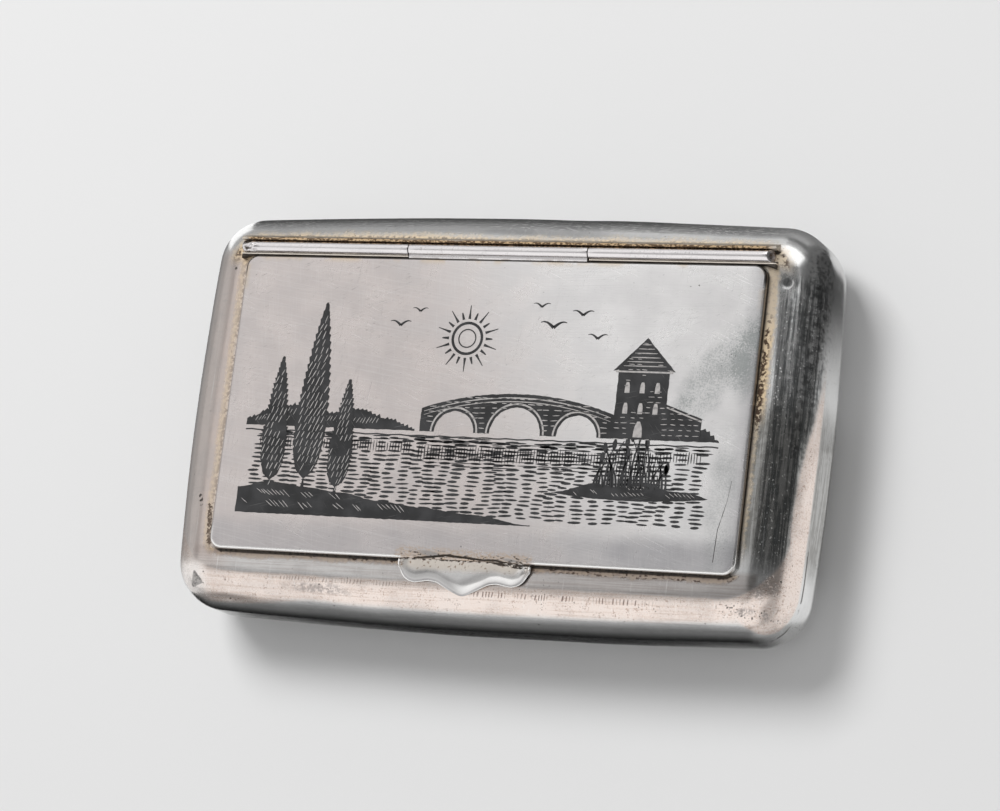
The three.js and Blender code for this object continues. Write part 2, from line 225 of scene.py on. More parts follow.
class SurfaceGraph(Graph):
    """A material's tree, with the patterns that old silver shows. Lengths are in millimetres."""

    def __init__(self, name: str) -> None:
        """Starts a new material and finds the place on the piece."""
        self.material = bpy.data.materials.new(name)
        self.material.use_nodes = True
        super().__init__(self.material.node_tree)
        self.tree.nodes.clear()
        self.place = self.scaled(self.node("ShaderNodeTexCoord", output="Object"), 1.0 / MM)
        self.x, self.y, self.z = self.split(self.place)

    def mapped(self, size: Point, shift: float, angle: float = 0.0) -> Signal:
        """Place counted in steps of a size, from a shifted origin and along axes turned about Z."""
        turn = (0.0, 0.0, radians(angle))
        inputs = {"Vector": self.place, "Location": (shift,) * 3, "Rotation": turn, "Scale": size}
        return self.node("ShaderNodeMapping", {"vector_type": "TEXTURE"}, inputs)

    def grain(self, size: Point, angle: float = 0.0, detail: float = 2.0, shift: float = 0.0) -> Signal:
        """Noise whose features have a size along each axis.

        Args:
            size: length, width and height of a feature.
            angle: turn of the pattern about Z, in degrees.
            detail: octaves of finer noise.
            shift: distance that moves the pattern to a fresh place.

        Returns:
            A value about 0.5.
        """
        inputs = {"Vector": self.mapped(size, shift, angle), "Scale": 1.0, "Detail": detail}
        return self.node("ShaderNodeTexNoise", inputs=inputs)

    def cloud(self, size: float, detail: float = 2.0, shift: float = 0.0) -> Signal:
        """Noise whose features have one size every way."""
        return self.grain((size, size, size), 0.0, detail, shift)

    def blotch(self, size: Point, detail: float, shift: float, low: float, high: float) -> Signal:
        """Noise as grain() makes it, stretched from 0 at a low value to 1 at a high one."""
        return self.step(self.grain(size, 0.0, detail, shift), low, high)

    def scratches(
        self, length: float, width: float, angle: float, share: float, shift: float = 0.0
    ) -> Signal:
        """Thin lines in one direction.

        Args:
            length: usual length of a line.
            width: usual width of a line.
            angle: direction in plan, in degrees from X.
            share: about how much of the surface is scratched, 0 to 1.
            shift: distance that moves the pattern to a fresh place.

        Returns:
            1 on a line, else 0.
        """
        lines = self.grain((length, width, length), angle, 1.0, shift)
        worn = self.grain((9.0, 9.0, 9.0), angle, 2.0, shift + 31.0)
        edge = 0.72 - 0.22 * share
        return self.step(lines, edge, edge + 0.06) * self.step(worn, 0.40, 0.60)

    def specks(self, spacing: float, radius: float, share: float, shift: float = 0.0) -> Signal:
        """Small round pits, scattered in loose groups.

        Args:
            spacing: usual distance between neighbours.
            radius: largest radius of a pit.
            share: about how much of the surface has pits, 0 to 1.
            shift: distance that moves the pattern to a fresh place.

        Returns:
            1 in a pit, else 0.
        """
        inputs = {"Vector": self.mapped((spacing,) * 3, shift), "Scale": 1.0}
        near = self.node("ShaderNodeTexVoronoi", inputs=inputs, output="Distance")
        group = self.cloud(6.0, 2.0, shift + 17.0)
        size = radius / spacing
        return self.fall(near, 0.5 * size, size) * self.step(group, 0.72 - 0.4 * share, 0.80 - 0.4 * share)

    def patch(self, patch: Patch) -> Signal:
        """Soft cloudy patch seen from above: its strength in its middle, 0 outside it."""
        turn = radians(patch.angle)
        right, forward = self.x - patch.centre[0], self.y - patch.centre[1]
        along = (right * cos(turn) + forward * sin(turn)) / patch.radii[0]
        across = (forward * cos(turn) - right * sin(turn)) / patch.radii[1]
        reach = (along * along + across * across) ** 0.5
        edge = reach + self.cloud(5.0, 4.0).swing(patch.ragged) * 2.0
        return self.fall(edge, 0.35, 1.0) * patch.strength

    def patches(self, patches: Iterable[Patch]) -> Signal:
        """Strength of several patches together."""
        return sum(self.patch(patch) for patch in patches)

    def band(self, value: Signal, low: float, high: float, soft: float) -> Signal:
        """1 where a value lies between two limits, with soft ends."""
        return self.step(value, low - soft, low + soft) * self.fall(value, high - soft, high + soft)

    def away(self, centre: Point) -> Signal:
        """Distance from a point."""
        return self.vectors("DISTANCE", self.place, centre, 1)

    def spot(self, centre: Point, radius: float, soft: float = 0.35) -> Signal:
        """Round mark: 1 inside a radius of a point, with a share of it soft."""
        ragged = self.away(centre) + self.cloud(0.5 * radius).swing(radius) * 1.5
        return self.fall(ragged, radius * (1 - soft), radius)

    def ragged(self, mark: Signal, size: Point, shift: float) -> Signal:
        """Soft mark with its edge broken up by noise of a size."""
        return self.step(mark + self.grain(size, 0.0, 4.0, shift).swing(3.2), 0.70, 0.95)

    def scribe(self, points: Sequence[Point], width: float) -> Signal:
        """Thin line through points: 1 on the line, 0 past half its width."""
        mark: Signal | None = None
        for start, stop in zip(points, points[1:]):
            way = Vector(stop) - Vector(start)
            gone = self.vectors("SUBTRACT", self.place, start)
            share = self.vectors("DOT_PRODUCT", gone, tuple(way / way.length_squared), 1)
            foot = self.scaled(tuple(way), share.most(0.0).least(1.0))
            near = self.fall(self.vectors("DISTANCE", gone, foot, 1), 0.25 * width, 0.5 * width)
            mark = near if mark is None else mark.most(near)
        return mark

    def outside(self, centre: Plan, half: Plan, radius: float) -> Signal:
        """Distance in plan from a rectangle with round corners, negative inside it."""
        right = abs(self.x - centre[0]) - (half[0] - radius)
        forward = abs(self.y - centre[1]) - (half[1] - radius)
        beyond = (right.most(0.0) ** 2.0 + forward.most(0.0) ** 2.0) ** 0.5
        return beyond + right.most(forward).least(0.0) - radius

    def finish(
        self, colour: Any, roughness: Any, relief: Signal | None = None, metallic: Any = 1.0
    ) -> Material:
        """Ends the material with its surface shader.

        Args:
            colour: colour or Signal.
            roughness: number or Signal.
            relief: height in millimetres for the bump.
            metallic: number or Signal.

        Returns:
            The material.
        """
        inputs: dict[Any, Any] = {"Base Color": (*colour, 1.0) if isinstance(colour, tuple) else colour}
        inputs.update({"Roughness": roughness, "Metallic": metallic})
        if relief is not None:
            bump = {"Strength": 1.0, "Distance": MM, "Height": relief}
            inputs["Normal"] = self.node("ShaderNodeBump", inputs=bump)
        shader = self.node("ShaderNodeBsdfPrincipled", inputs=inputs)
        self.node_output(shader)
        return self.material

    def node_output(self, shader: Signal) -> None:
        """Links a shader to the material's output."""
        self.make("ShaderNodeOutputMaterial", inputs={"Surface": shader})


# Sizes


def box_mm(node: str) -> tuple[Vector, Vector]:
    """Lowest and highest corner of a CAD node, in millimetres."""
    low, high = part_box(node)
    return low / MM, high / MM


@dataclass(frozen=True)
class CaseSizes:
    """Sizes of the case in millimetres. The outer ones come from the frame."""

    length: float
    width: float
    depth: float
    seam: float
    end_bow: float = 0.55
    side_bow: float = 0.67
    corner_radius: float = 6.0
    shoulder_radius: float = 5.2
    base_edge_radius: float = 5.8
    sheet: float = 0.8

    @classmethod
    def from_frame(cls) -> "CaseSizes":
        """Reads the shells' boxes."""
        low, high = box_mm("lower_shell")
        return cls(high.x - low.x, high.y - low.y, box_mm("upper_shell")[1].z, high.z)


@dataclass(frozen=True)
class LidSizes:
    """Sizes of the lid and the mouth in millimetres."""

    left: float
    right: float
    front: float
    rear: float
    underside: float
    top: float
    corner_radius: float = 1.6
    edge_radius: float = 0.32
    overlap: float = 1.8
    mouth_corner_radius: float = 2.2

    @classmethod
    def from_frame(cls) -> "LidSizes":
        """Reads the lid plate's box."""
        low, high = box_mm("lid_plate")
        return cls(low.x, high.x, low.y, high.y, low.z, high.z)

    @property
    def centre(self) -> Plan:
        """Middle of the plate in plan."""
        return ((self.left + self.right) / 2, (self.front + self.rear) / 2)

    @property
    def half(self) -> Plan:
        """Half length and half width of the plate."""
        return ((self.right - self.left) / 2, (self.rear - self.front) / 2)


@dataclass(frozen=True)
class HingeSizes:
    """Sizes of the hinge in millimetres."""

    axis_y: float
    axis_z: float
    knuckle_radius: float
    bore_radius: float = 0.4
    clearance: float = 0.05

    @classmethod
    def from_frame(cls) -> "HingeSizes":
        """Reads the lid's joint and the left knuckle's box."""
        _, y, z = frame["joints"][0]["pos_m"]
        low, high = box_mm("hinge_knuckle_left")
        return cls(y / MM, z / MM, (high.z - low.z) / 2 - 0.001)


# Meshes


def add_object(name: str, data: ID) -> Object:
    """New object in the scene."""
    made = bpy.data.objects.new(name, data)
    bpy.context.scene.collection.objects.link(made)
    return made


@dataclass
class Skin:
    """Points and faces of a mesh, in millimetres."""

    points: list[Point] = field(default_factory=list)
    faces: list[tuple[int, ...]] = field(default_factory=list)

    def add(self, other: "Skin") -> "Skin":
        """Takes in another skin as a separate body, and returns itself."""
        start = len(self.points)
        self.points.extend(other.points)
        self.faces.extend(tuple(start + i for i in face) for face in other.faces)
        return self

    def moved(self, change: Callable[[Vector], Vector]) -> "Skin":
        """Copy with every point moved by a function."""
        return Skin([tuple(change(Vector(point))) for point in self.points], list(self.faces))


def loft(rings: Sequence[Sequence[Point]], ends: Ends) -> Skin:
    """Skin over a stack of rings with equal counts, each anticlockwise seen from the last one.

    Args:
        rings: the rings, from first to last.
        ends: how the two ends are closed.

    Returns:
        A closed skin.
    """
    count, skin = len(rings[0]), Skin([point for ring in rings for point in ring])
    pairs = len(rings) if ends is Ends.JOINED else len(rings) - 1
    for k in range(pairs):
        low, high = k * count, (k + 1) % len(rings) * count
        for i in range(count):
            j = (i + 1) % count
            skin.faces.append((low + i, low + j, high + j, high + i))
    last = (len(rings) - 1) * count
    if ends is Ends.FLAT:
        skin.faces += [tuple(reversed(range(count))), tuple(range(last, last + count))]
    if ends is Ends.POLES:
        for start, order in ((0, -1), (last, 1)):
            ring = skin.points[start:start + count]
            skin.points.append(tuple(sum(p[axis] for p in ring) / count for axis in range(3)))
            pole = len(skin.points) - 1
            for i in range(count):
                edge = (start + i, start + (i + 1) % count)
                skin.faces.append((*edge[::order], pole))
    return skin


def arc(centre: Plan, radius: float, angles: Iterable[float]) -> list[Plan]:
    """Points on a circle at angles in radians."""
    return [(centre[0] + radius * cos(a), centre[1] + radius * sin(a)) for a in angles]


def bowed_rectangle(
    half: Plan, radius: float, bow: Plan = (0.0, 0.0), centre: Plan = (0.0, 0.0)
) -> list[Plan]:
    """Rectangle with round corners whose sides bow outwards and run smoothly into the corners.

    Args:
        half: half length and half width at the corners.
        radius: corner radius.
        bow: how far the ends and the long sides bow outwards.
        centre: its middle.

    Returns:
        Points anticlockwise from the right end, always the same number.
    """
    side_steps, corner_steps = 30, 16
    cx, cy = half[0] - radius, half[1] - radius
    end_tilt, side_tilt = atan(2 * bow[0] / cy), atan(2 * bow[1] / cx)
    end = (cx + radius * cos(end_tilt), cy + radius * sin(end_tilt))
    side = (cx + radius * sin(side_tilt), cy + radius * cos(side_tilt))
    shares = [2 * i / side_steps - 1 for i in range(side_steps)]
    turns = [(pi / 2 - side_tilt - end_tilt) * i / corner_steps for i in range(corner_steps)]
    points = [(end[0] + bow[0] * (1 - t * t), end[1] * t) for t in shares]
    points += arc((cx, cy), radius, (end_tilt + turn for turn in turns))
    points += [(-side[0] * t, side[1] + bow[1] * (1 - t * t)) for t in shares]
    points += arc((-cx, cy), radius, (pi / 2 + side_tilt + turn for turn in turns))
    points += [(-x, -y) for x, y in points]
    return [(centre[0] + x, centre[1] + y) for x, y in points]


def level(outline: Iterable[Plan], z: float) -> list[Point]:
    """Outline at a height."""
    return [(x, y, z) for x, y in outline]


def between(first: Sequence[Plan], second: Sequence[Plan], share: float) -> list[Plan]:
    """Outline part of the way from one to another."""
    return [(a[0] + (b[0] - a[0]) * share, a[1] + (b[1] - a[1]) * share) for a, b in zip(first, second)]


def shrunk(outline: Sequence[Plan], share: float) -> list[Plan]:
    """Outline scaled towards its middle."""
    middle = (sum(x for x, _ in outline) / len(outline), sum(y for _, y in outline) / len(outline))
    return between([middle] * len(outline), outline, share)


def quarter(steps: int) -> list[float]:
    """Angles from 0 to 90 degrees, in radians."""
    return [pi / 2 * i / steps for i in range(steps + 1)]


def turned(profile: Sequence[Plan], axis: Plan, ends: Ends, steps: int = 40) -> Skin:
    """Skin turned about an axis along X.

    Args:
        profile: X and radius of each ring.
        axis: Y and Z of the axis.
        ends: how the skin is closed.
        steps: points round the axis.

    Returns:
        The skin.
    """
    angles = [2 * pi * i / steps for i in range(steps)]
    return loft([[(x, axis[0] + r * cos(a), axis[1] + r * sin(a)) for a in angles] for x, r in profile], ends)


def tube(x0: float, x1: float, sizes: HingeSizes, soften: float = 0.07, slant: float = 0.0) -> Skin:
    """Hinge knuckle between two places along X.

    Args:
        x0: its left end.
        x1: its right end.
        sizes: radii and axis.
        soften: how far the rims of its ends are rounded.
        slant: how far the top of the right end is worn back.

    Returns:
        The closed tube.
    """
    outer, bore = sizes.knuckle_radius, sizes.bore_radius
    spans = [x0 + soften + (x1 - x0 - 2 * soften) * i / 24 for i in range(25)]
    round_off = [(soften * (1 - sin(a)), soften * (1 - cos(a))) for a in quarter(4)]
    profile = [(x0 + dx, outer - dr) for dx, dr in reversed(round_off)]
    profile += [(x, outer) for x in spans[1:-1]]
    profile += [(x1 - dx, outer - dr) for dx, dr in round_off]
    profile += [(x1, bore), (x0, bore)]
    skin = turned(profile, (sizes.axis_y, sizes.axis_z), Ends.JOINED)

    def wear(point: Vector) -> Vector:
        """Takes the top of the right end back."""
        share = max(0.0, (point.z - sizes.axis_z) / outer + 0.5) * max(0.0, 1 - (x1 - point.x) / 2.0)
        return point - Vector((slant * share, 0.0, 0.0))

    return skin.moved(wear) if slant else skin


def inset(outline: Sequence[Plan], distance: float) -> list[Plan]:
    """Anticlockwise outline moved inwards along its normals."""
    count, moved = len(outline), []
    for i, (x, y) in enumerate(outline):
        (x0, y0), (x1, y1) = outline[i - 1], outline[(i + 1) % count]
        size = hypot(x1 - x0, y1 - y0) or 1.0
        moved.append((x - (y1 - y0) / size * distance, y + (x1 - x0) / size * distance))
    return moved


def frame_ring(outer: Sequence[Plan], inner: Sequence[Plan], bottom: float, top: float) -> Skin:
    """Upright frame between two outlines with equal counts."""
    return loft(
        [level(outer, bottom), level(outer, top), level(inner, top), level(inner, bottom)], Ends.JOINED
    )


class Bench:
    """Turns skins into finished pieces of the model and reports each one."""

    def __init__(self) -> None:
        """Starts with no pieces."""
        self.pieces: list[Object] = []

    def mesh(self, name: str, skin: Skin, smooth: float = 32.0, flat: bool = False) -> Mesh:
        """Mesh from a skin.

        Args:
            name: the mesh's name.
            skin: its points and faces, in millimetres.
            smooth: angle in degrees past which an edge is sharp.
            flat: True for an open skin, whose faces point up already.

        Returns:
            The mesh, with its faces outwards.
        """
        mesh = bpy.data.meshes.new(name)
        mesh.from_pydata([(x * MM, y * MM, z * MM) for x, y, z in skin.points], [], skin.faces)
        work = bmesh.new()
        work.from_mesh(mesh)
        if not flat:
            bmesh.ops.remove_doubles(work, verts=work.verts, dist=1e-7)
            bmesh.ops.recalc_face_normals(work, faces=work.faces)
        work.to_mesh(mesh)
        work.free()
        mesh.shade_smooth()
        mesh.set_sharp_from_angle(angle=radians(smooth))
        return mesh

    def place(
        self, name: str, mesh: Mesh, body: Body, slot: str,
        material: Material | None = None, replaces: Sequence[str] = (),
    ) -> Object:
        """Adds a mesh to the model.

        Args:
            name: the piece's name.
            mesh: its mesh, in place.
            body: the body it moves with.
            slot: the record's material slot; not used.
            material: its material, unless the mesh has one.
            replaces: CAD nodes that it stands for.

        Returns:
            The object.
        """
        piece = add_object(name, mesh)
        if material is not None:
            mesh.materials.clear()
            mesh.materials.append(material)
        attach(piece, body.value)
        if replaces:
            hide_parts(*replaces)
        self.pieces.append(piece)
        LOG.info("%s: %d faces on %s", name, len(mesh.polygons), body.value)
        return piece

    def add(
        self, name: str, skin: Skin, body: Body, slot: str, material: Material, node: str,
        smooth: float = 32.0,
    ) -> None:
        """Adds a skin to the model as the piece that stands for one CAD node."""
        self.place(name, self.mesh(name, skin, smooth), body, slot, material, [node])


# Finishes


@dataclass(frozen=True)
class LidSilver:
    """Satin silver of the lid plate: fine scratches every way, pits and grey clouds of tarnish, with painted
    shade along its edges and a painted highlight on its front bevel.
    """

    lid: LidSizes
    bright: Colour = (0.665, 0.606, 0.586)
    neutral: Colour = (0.89, 0.875, 0.87)
    cloud: Colour = (0.27, 0.30, 0.295)
    warm: Colour = (0.70, 0.55, 0.36)
    pit: Colour = (0.018, 0.014, 0.011)
    veil_and_edge_shade: Colour = (0.43, 0.42, 0.435)
    gleam: Colour = (0.97, 0.96, 0.95)
    line: Colour = (0.45, 0.44, 0.44)
    root: Colour = (0.62, 0.49, 0.38)
    scratch: Colour = (0.98, 0.97, 0.96)
    # rubbed: pale colour of the worn front bevel, which is also a painted highlight.
    rubbed: Colour = (0.95, 0.94, 0.925)
    haze: Colour = (0.55, 0.40, 0.26)
    solder: Colour = (0.38, 0.365, 0.36)
    edge: Colour = (0.40, 0.35, 0.30)
    nick: Colour = (0.2, 0.19, 0.19)
    smoke: tuple[Patch, ...] = (
        Patch((29.0, 5.8), (9.5, 4.0), 56.0, 0.9, 0.8), Patch((33.2, 7.5), (2.6, 8.0), 0.0, 0.6, 0.75),
        Patch((24.5, 1.2), (3.4, 1.6), 40.0, 0.5, 0.45), Patch((31.6, -9.0), (2.6, 12.0), 0.0, 0.5, 0.55),
    )
    veil_and_shade_patch: Patch = Patch((24.0, -16.0), (11.0, 3.0), 0.0, 0.5, 0.3)
    solders: tuple[Patch, ...] = (
        Patch((-4.5, -17.3), (2.2, 0.5), -8.0, 0.15), Patch((6.0, -17.65), (1.6, 0.34), -8.0, 0.15),
    )
    split: tuple[Point, ...] = (
        (-6.4, -17.95, 15.95), (-4.4, -17.75, 15.95), (-2.3, -17.45, 15.95), (0.1, -17.6, 15.95),
        (2.5, -17.8, 15.95), (4.1, -17.75, 15.95), (5.6, -18.0, 15.9),
    )
    crack: tuple[Point, ...] = (
        (32.5, -7.0, 15.95), (32.2, -9.4, 15.95), (31.4, -12.8, 15.95), (31.25, -16.6, 15.95),
    )

    def tarnish(self, g: SurfaceGraph, cloudy: Signal) -> Signal:
        """Grainy grey patch at the right and dull strips along the edges."""
        dust = g.cloud(0.20, 5.0, 40.0)
        smoke = g.patches(self.smoke)
        return (smoke * (0.25 + g.step(dust * 0.55 + cloudy * 0.45, 0.38, 0.62) * 0.75)).least(1.0)

    def material(self) -> Material:
        """Builds the material."""
        g = SurfaceGraph("lid_silver")
        cross = g.scratches(6.0, 0.07, 14.0, 0.32) + g.scratches(4.0, 0.06, 62.0, 0.26, 8.0)
        cross = cross + g.scratches(5.0, 0.07, -24.0, 0.34, 19.0) + g.scratches(7.0, 0.08, 84.0, 0.2, 27.0)
        brushed = g.grain((10.0, 0.13, 10.0), -9.0, 3.0)
        level_lines = g.grain((12.0, 0.12, 12.0), 2.0, 2.0, 52.0)
        upright = g.grain((0.12, 4.0, 4.0), 8.0, 2.0, 7.0)
        cloudy = g.cloud(4.5, 5.0, 3.0)
        edge = g.outside(self.lid.centre, self.lid.half, self.lid.corner_radius)
        smoke = self.tarnish(g, cloudy)
        # Darker grey along the lid's front and right edges: partly painted shade, partly cloudy tarnish.
        veil_and_edge_shade = g.step(-g.y, 13.0, 15.6) * 0.42 + g.step(g.x, 31.4, 33.5) * 0.40 + g.patch(self.veil_and_shade_patch)
        veil_and_edge_shade = (veil_and_edge_shade + g.step(-g.x, 31.5, 34.0) * 0.10 + g.step(cloudy, 0.36, 0.68) * 0.14).least(1.0)
        stain = (
            g.step(edge, -1.0, -0.1) * g.step(g.cloud(3.5, 4.0, 44.0), 0.46, 0.60) * g.step(g.y, 12.0, 17.0)
        )
        root = g.fall(abs(g.x), 7.0, 9.2) * g.step(-g.y + cloudy.swing(1.2), 16.8, 17.4)
        dirt = root * g.step(g.grain((0.5, 0.22, 0.4), -4.0, 4.0, 61.0), 0.56, 0.62)
        solder = g.patches(self.solders).least(1.0)
        crack = g.scribe(self.crack, 0.10)
        crack = crack * (0.4 + g.step(g.cloud(1.5, 2.0, 90.0), 0.4, 0.55) * 0.6)
        pits = g.specks(1.5, 0.12, 0.30).most(g.specks(0.45, 0.07, 0.45, 12.0) * (0.15 + smoke))
        nicks = g.scratches(1.2, 0.10, 25.0, 0.15, 33.0)
        over_thumb = g.fall(abs(g.x - 0.3), 8.2, 8.8) * g.step(-g.y, 16.0, 17.0)
        # Pale band along the lid's front bevel: rubbed wear, and a painted highlight.
        rubbed = g.step(edge, -0.42, -0.24) * g.step(-g.y, 14.6, 16.2) * (1.0 - over_thumb)
        right_edge = g.step(edge, -0.11, -0.04) * g.step(g.x, 33.0, 33.6) * g.step(g.y, -17.0, -14.0)
        # Painted shade: a black line at the foot of the lid's right side and along its rear edge by the
        # hinge.
        edge_shade_line = (right_edge * g.fall(g.z, 15.30, 15.45)).most(
            g.step(edge, -0.30, -0.20) * g.step(g.y, 16.0, 17.0)
        )
        wander = g.grain((0.7, 0.3, 0.5), 0.0, 3.0, 66.0)
        split = g.step(g.scribe(self.split, 0.34) + wander.swing(1.6), 0.40, 0.60).most(
            g.ragged(g.scribe(self.split, 0.42), (0.6, 0.22, 0.5), 67.0)
        )
        haze = (
            g.scribe([(-8.0, -17.5, 15.9), (8.0, -17.8, 15.9)], 2.6)
            * g.blotch((0.35, 0.25, 0.3), 4.0, 69.0, 0.40, 0.62)
        )

        colour = g.mix(g.step(g.x + cloudy.swing(16.0) + g.y * 0.5, -8.0, 22.0), self.bright, self.neutral)
        colour = g.coats(colour, [
            (veil_and_edge_shade, self.veil_and_edge_shade),
            (g.step(brushed, 0.45, 0.75) * 0.13 + g.step(upright, 0.5, 0.75) * 0.09, self.gleam),
            (g.step(1.0 - level_lines, 0.5, 0.75) * 0.12, self.line),
            (smoke * 0.70, self.cloud),
            (stain * 0.55, self.warm),
            (root * 0.45, self.root),
            (cross.least(1.0) * 0.16, self.scratch),
            (rubbed * 0.8, self.rubbed),
            (haze * 0.5, self.haze),
            (solder * 0.8, self.solder),
            (right_edge * 0.8, self.edge),
            # Near-black: dirt, cracks, pits, and the painted shade line at the edges.
            (dirt.most(crack).most(split).most(pits * 0.9).most(edge_shade_line * 0.95) * 0.92, self.pit),
            (nicks * 0.30, self.nick),
        ])
        roughness = (
            0.27 + g.step(cloudy, 0.3, 0.7) * 0.06 + smoke * 0.10 + dirt * 0.2 - cross.least(1.0) * 0.03
        )
        roughness = roughness * (1.0 - rubbed * 0.55)
        relief = (
            cross * -0.003 + brushed * 0.0035 + upright * 0.003 + cloudy * 0.02 - pits * 0.02 - crack * 0.03
        )
        return g.finish(colour, roughness, relief - nicks * 0.006 + solder * 0.02)


@dataclass(frozen=True)
class CaseSilver:
    """Polished and worn silver of the shells: warm on the walls, crusted brown round the lid, with painted
    shade on the front rim, beside the lid and down the right shoulder, and a painted highlight on a dent.
    """

    lid: LidSizes
    cool: Colour = (0.74, 0.74, 0.735)
    copper: Colour = (0.87, 0.762, 0.70)
    tan: Colour = (0.80, 0.61, 0.37)
    umber: Colour = (0.27, 0.17, 0.11)
    olive: Colour = (0.20, 0.195, 0.18)
    crust: Colour = (0.050, 0.024, 0.011)
    # soot: black of the dirt and painted shadow beside the lid's edge.
    soot: Colour = (0.016, 0.011, 0.008)
    blush: Colour = (0.66, 0.47, 0.37)
    speckle: Colour = (0.36, 0.25, 0.20)
    left_brown: Colour = (0.40, 0.32, 0.285)
    pale: Colour = (0.95, 0.935, 0.92)
    cloud: Colour = (0.40, 0.405, 0.41)
    line: Colour = (0.45, 0.445, 0.44)
    rim_brown: Colour = (0.37, 0.32, 0.295)
    lid_shadow_on_rim: Colour = (0.20, 0.175, 0.16)
    # Colour of the painted dark reflection band on the right shoulder.
    streak: Colour = (0.13, 0.14, 0.142)
    grime: Colour = (0.08, 0.08, 0.08)
    brushed: Colour = (0.96, 0.95, 0.94)
    gleam: Colour = (0.97, 0.96, 0.95)
    film_grey: Colour = (0.42, 0.38, 0.33)
    smear: Colour = (0.34, 0.31, 0.30)
    facet_grey: Colour = (0.21, 0.20, 0.195)
    dent_dark: Colour = (0.12, 0.12, 0.12)
    tick: Colour = (0.15, 0.09, 0.075)
    pit: Colour = (0.05, 0.04, 0.035)
    ridge: tuple[Point, ...] = (
        (36.5, -3.0, 14.9), (36.3, -9.2, 14.92), (36.1, -13.0, 14.9), (35.6, -16.6, 14.97)
    )
    crack: tuple[Point, ...] = (
        (40.5, -13.2, 9.4), (40.3, -17.4, 9.1), (40.0, -20.0, 9.2), (38.3, -23.1, 8.4), (36.2, -24.6, 8.2)
    )
    facet: tuple[Point, ...] = (
        (-36.12, -20.95, 14.5), (-36.6, -22.4, 13.45), (-35.25, -22.0, 14.2), (-36.12, -20.95, 14.5)
    )
    dent: Point = (36.15, 17.05, 14.7)
    nick: tuple[Point, ...] = ((-36.55, -11.5, 14.87), (-36.25, -12.5, 14.93))
    pitted: tuple[Patch, ...] = (
        Patch((36.0, -21.9), (5.6, 1.1), -4.0, 0.4), Patch((37.9, -18.6), (1.0, 2.2), 10.0, 0.5),
    )
    smeared: Patch = Patch((-19.6, -22.05), (6.4, 0.85), -2.0, 0.30)
    scuffs: tuple[Patch, ...] = (
        Patch((35.0, -21.9), (1.5, 0.5), 8.0, 0.9), Patch((37.4, -22.1), (0.5, 0.9), 0.0, 0.9),
        Patch((36.6, -19.6), (0.9, 1.3), 30.0, 0.9),
    )
    left_rust: tuple[Point, ...] = ((-34.95, -12.6, 15.02), (-34.7, -14.9, 15.02), (-34.5, -17.2, 15.02))
    spots: tuple[tuple[Point, float], ...] = (
        ((-19.0, -21.6, 14.75), 0.14), ((-35.9, 17.3, 14.92), 0.20), ((9.2, -24.56, 12.56), 0.13),
        ((40.6, -15.9, 7.4), 0.2), ((-31.6, -23.8, 13.0), 0.28), ((-31.2, -24.1, 12.7), 0.22),
        ((-34.9, -22.1, 14.15), 0.12), ((38.9, -18.0, 13.4), 0.2),
    )

    def rim_distance(self, g: SurfaceGraph) -> Signal:
        """Distance from the lid's outline."""
        return g.outside(self.lid.centre, self.lid.half, self.lid.corner_radius)

    def brown(self, g: SurfaceGraph, cloudy: Signal, crumbs: Signal) -> tuple[Signal, Signal, Signal]:
        """Tarnish round the lid, and a painted shadow beside its edge.

        Args:
            g: the material's graph.
            cloudy: broad noise.
            crumbs: fine noise.

        Returns:
            Tan film, brown crust, and black dirt with painted shadow beside the lid's edge, each 0 to 1.
        """
        edge = self.rim_distance(g)
        stray = cloudy.swing(1.3) + crumbs.swing(0.7)
        right = g.step(g.x, 33.6, 34.2) * g.step(g.y, -17.5, -12.0)
        upper = g.step(g.y + cloudy.swing(4.0), -1.0, 4.0)
        behind = g.step(g.y + cloudy.swing(2.0), 17.4, 19.8)
        front = g.step(-g.y, 17.7, 18.1)
        left = g.step(-g.x, 33.6, 34.2)
        root = front * g.fall(abs(g.x), 8.6, 10.5)
        side_film = g.fall(edge + stray * 0.8, 1.0, 1.7) * right * upper
        back_film = g.fall(edge + stray * 1.4, 2.3, 3.9) * behind
        front_film = g.fall(edge + stray, 0.5, 1.0) * (front * 0.62 + root * 0.2)
        left_film = g.band(edge + stray * 0.6, 0.4, 1.3, 0.35) * left * 0.45
        low_film = g.fall(edge + stray * 1.2, 0.3, 0.9) * right * (1.0 - upper) * 0.55
        film = (side_film + back_film + front_film + left_film + low_film).least(1.0)
        crumbly = g.step(crumbs * 0.62 + cloudy * 0.38, 0.470, 0.525)
        side_crust = g.band(edge + stray * 0.7, 0.15, 0.95, 0.2) * right * g.band(g.y, -1.0, 12.5, 2.0)
        back_crust = g.band(edge + stray * 1.1, 1.9, 2.85, 0.25) * behind
        ragged = g.grain((1.3, 0.45, 0.5), 0.0, 4.0, 73.0)
        front_crust = (
            g.band(edge + stray, 0.60, 0.85, 0.12) * front * g.step(ragged, 0.44, 0.52)
            * g.step(g.x, 8.0, 14.0)
        )
        front_crust = front_crust + g.fall(edge + ragged.swing(1.6), 0.22, 0.40) * front * 1.4
        rust = g.ragged(g.scribe(self.left_rust, 0.95), (0.22, 0.26, 0.3), 70.0)
        left_crust = g.band(edge + stray, 0.3, 0.8, 0.2) * left * 0.3
        crust = (side_crust + back_crust * 0.95 + front_crust + left_crust).least(1.0) * crumbly
        crust = crust.most(rust * 0.9)
        top = g.step(g.z, 13.4, 14.3)
        # Black line on the rim just outside the lid: painted shadow of the lid's raised edge, with some dirt.
        gap_dirt_and_shadow = (
            top * g.fall(edge + stray * 0.14 + right * 0.14 - front * 0.08, 0.12, 0.32)
            * (0.40 + (right + front * 0.9 + behind).least(1.0) * 0.6)
        )
        return film * top, crust.least(1.0) * top, gap_dirt_and_shadow

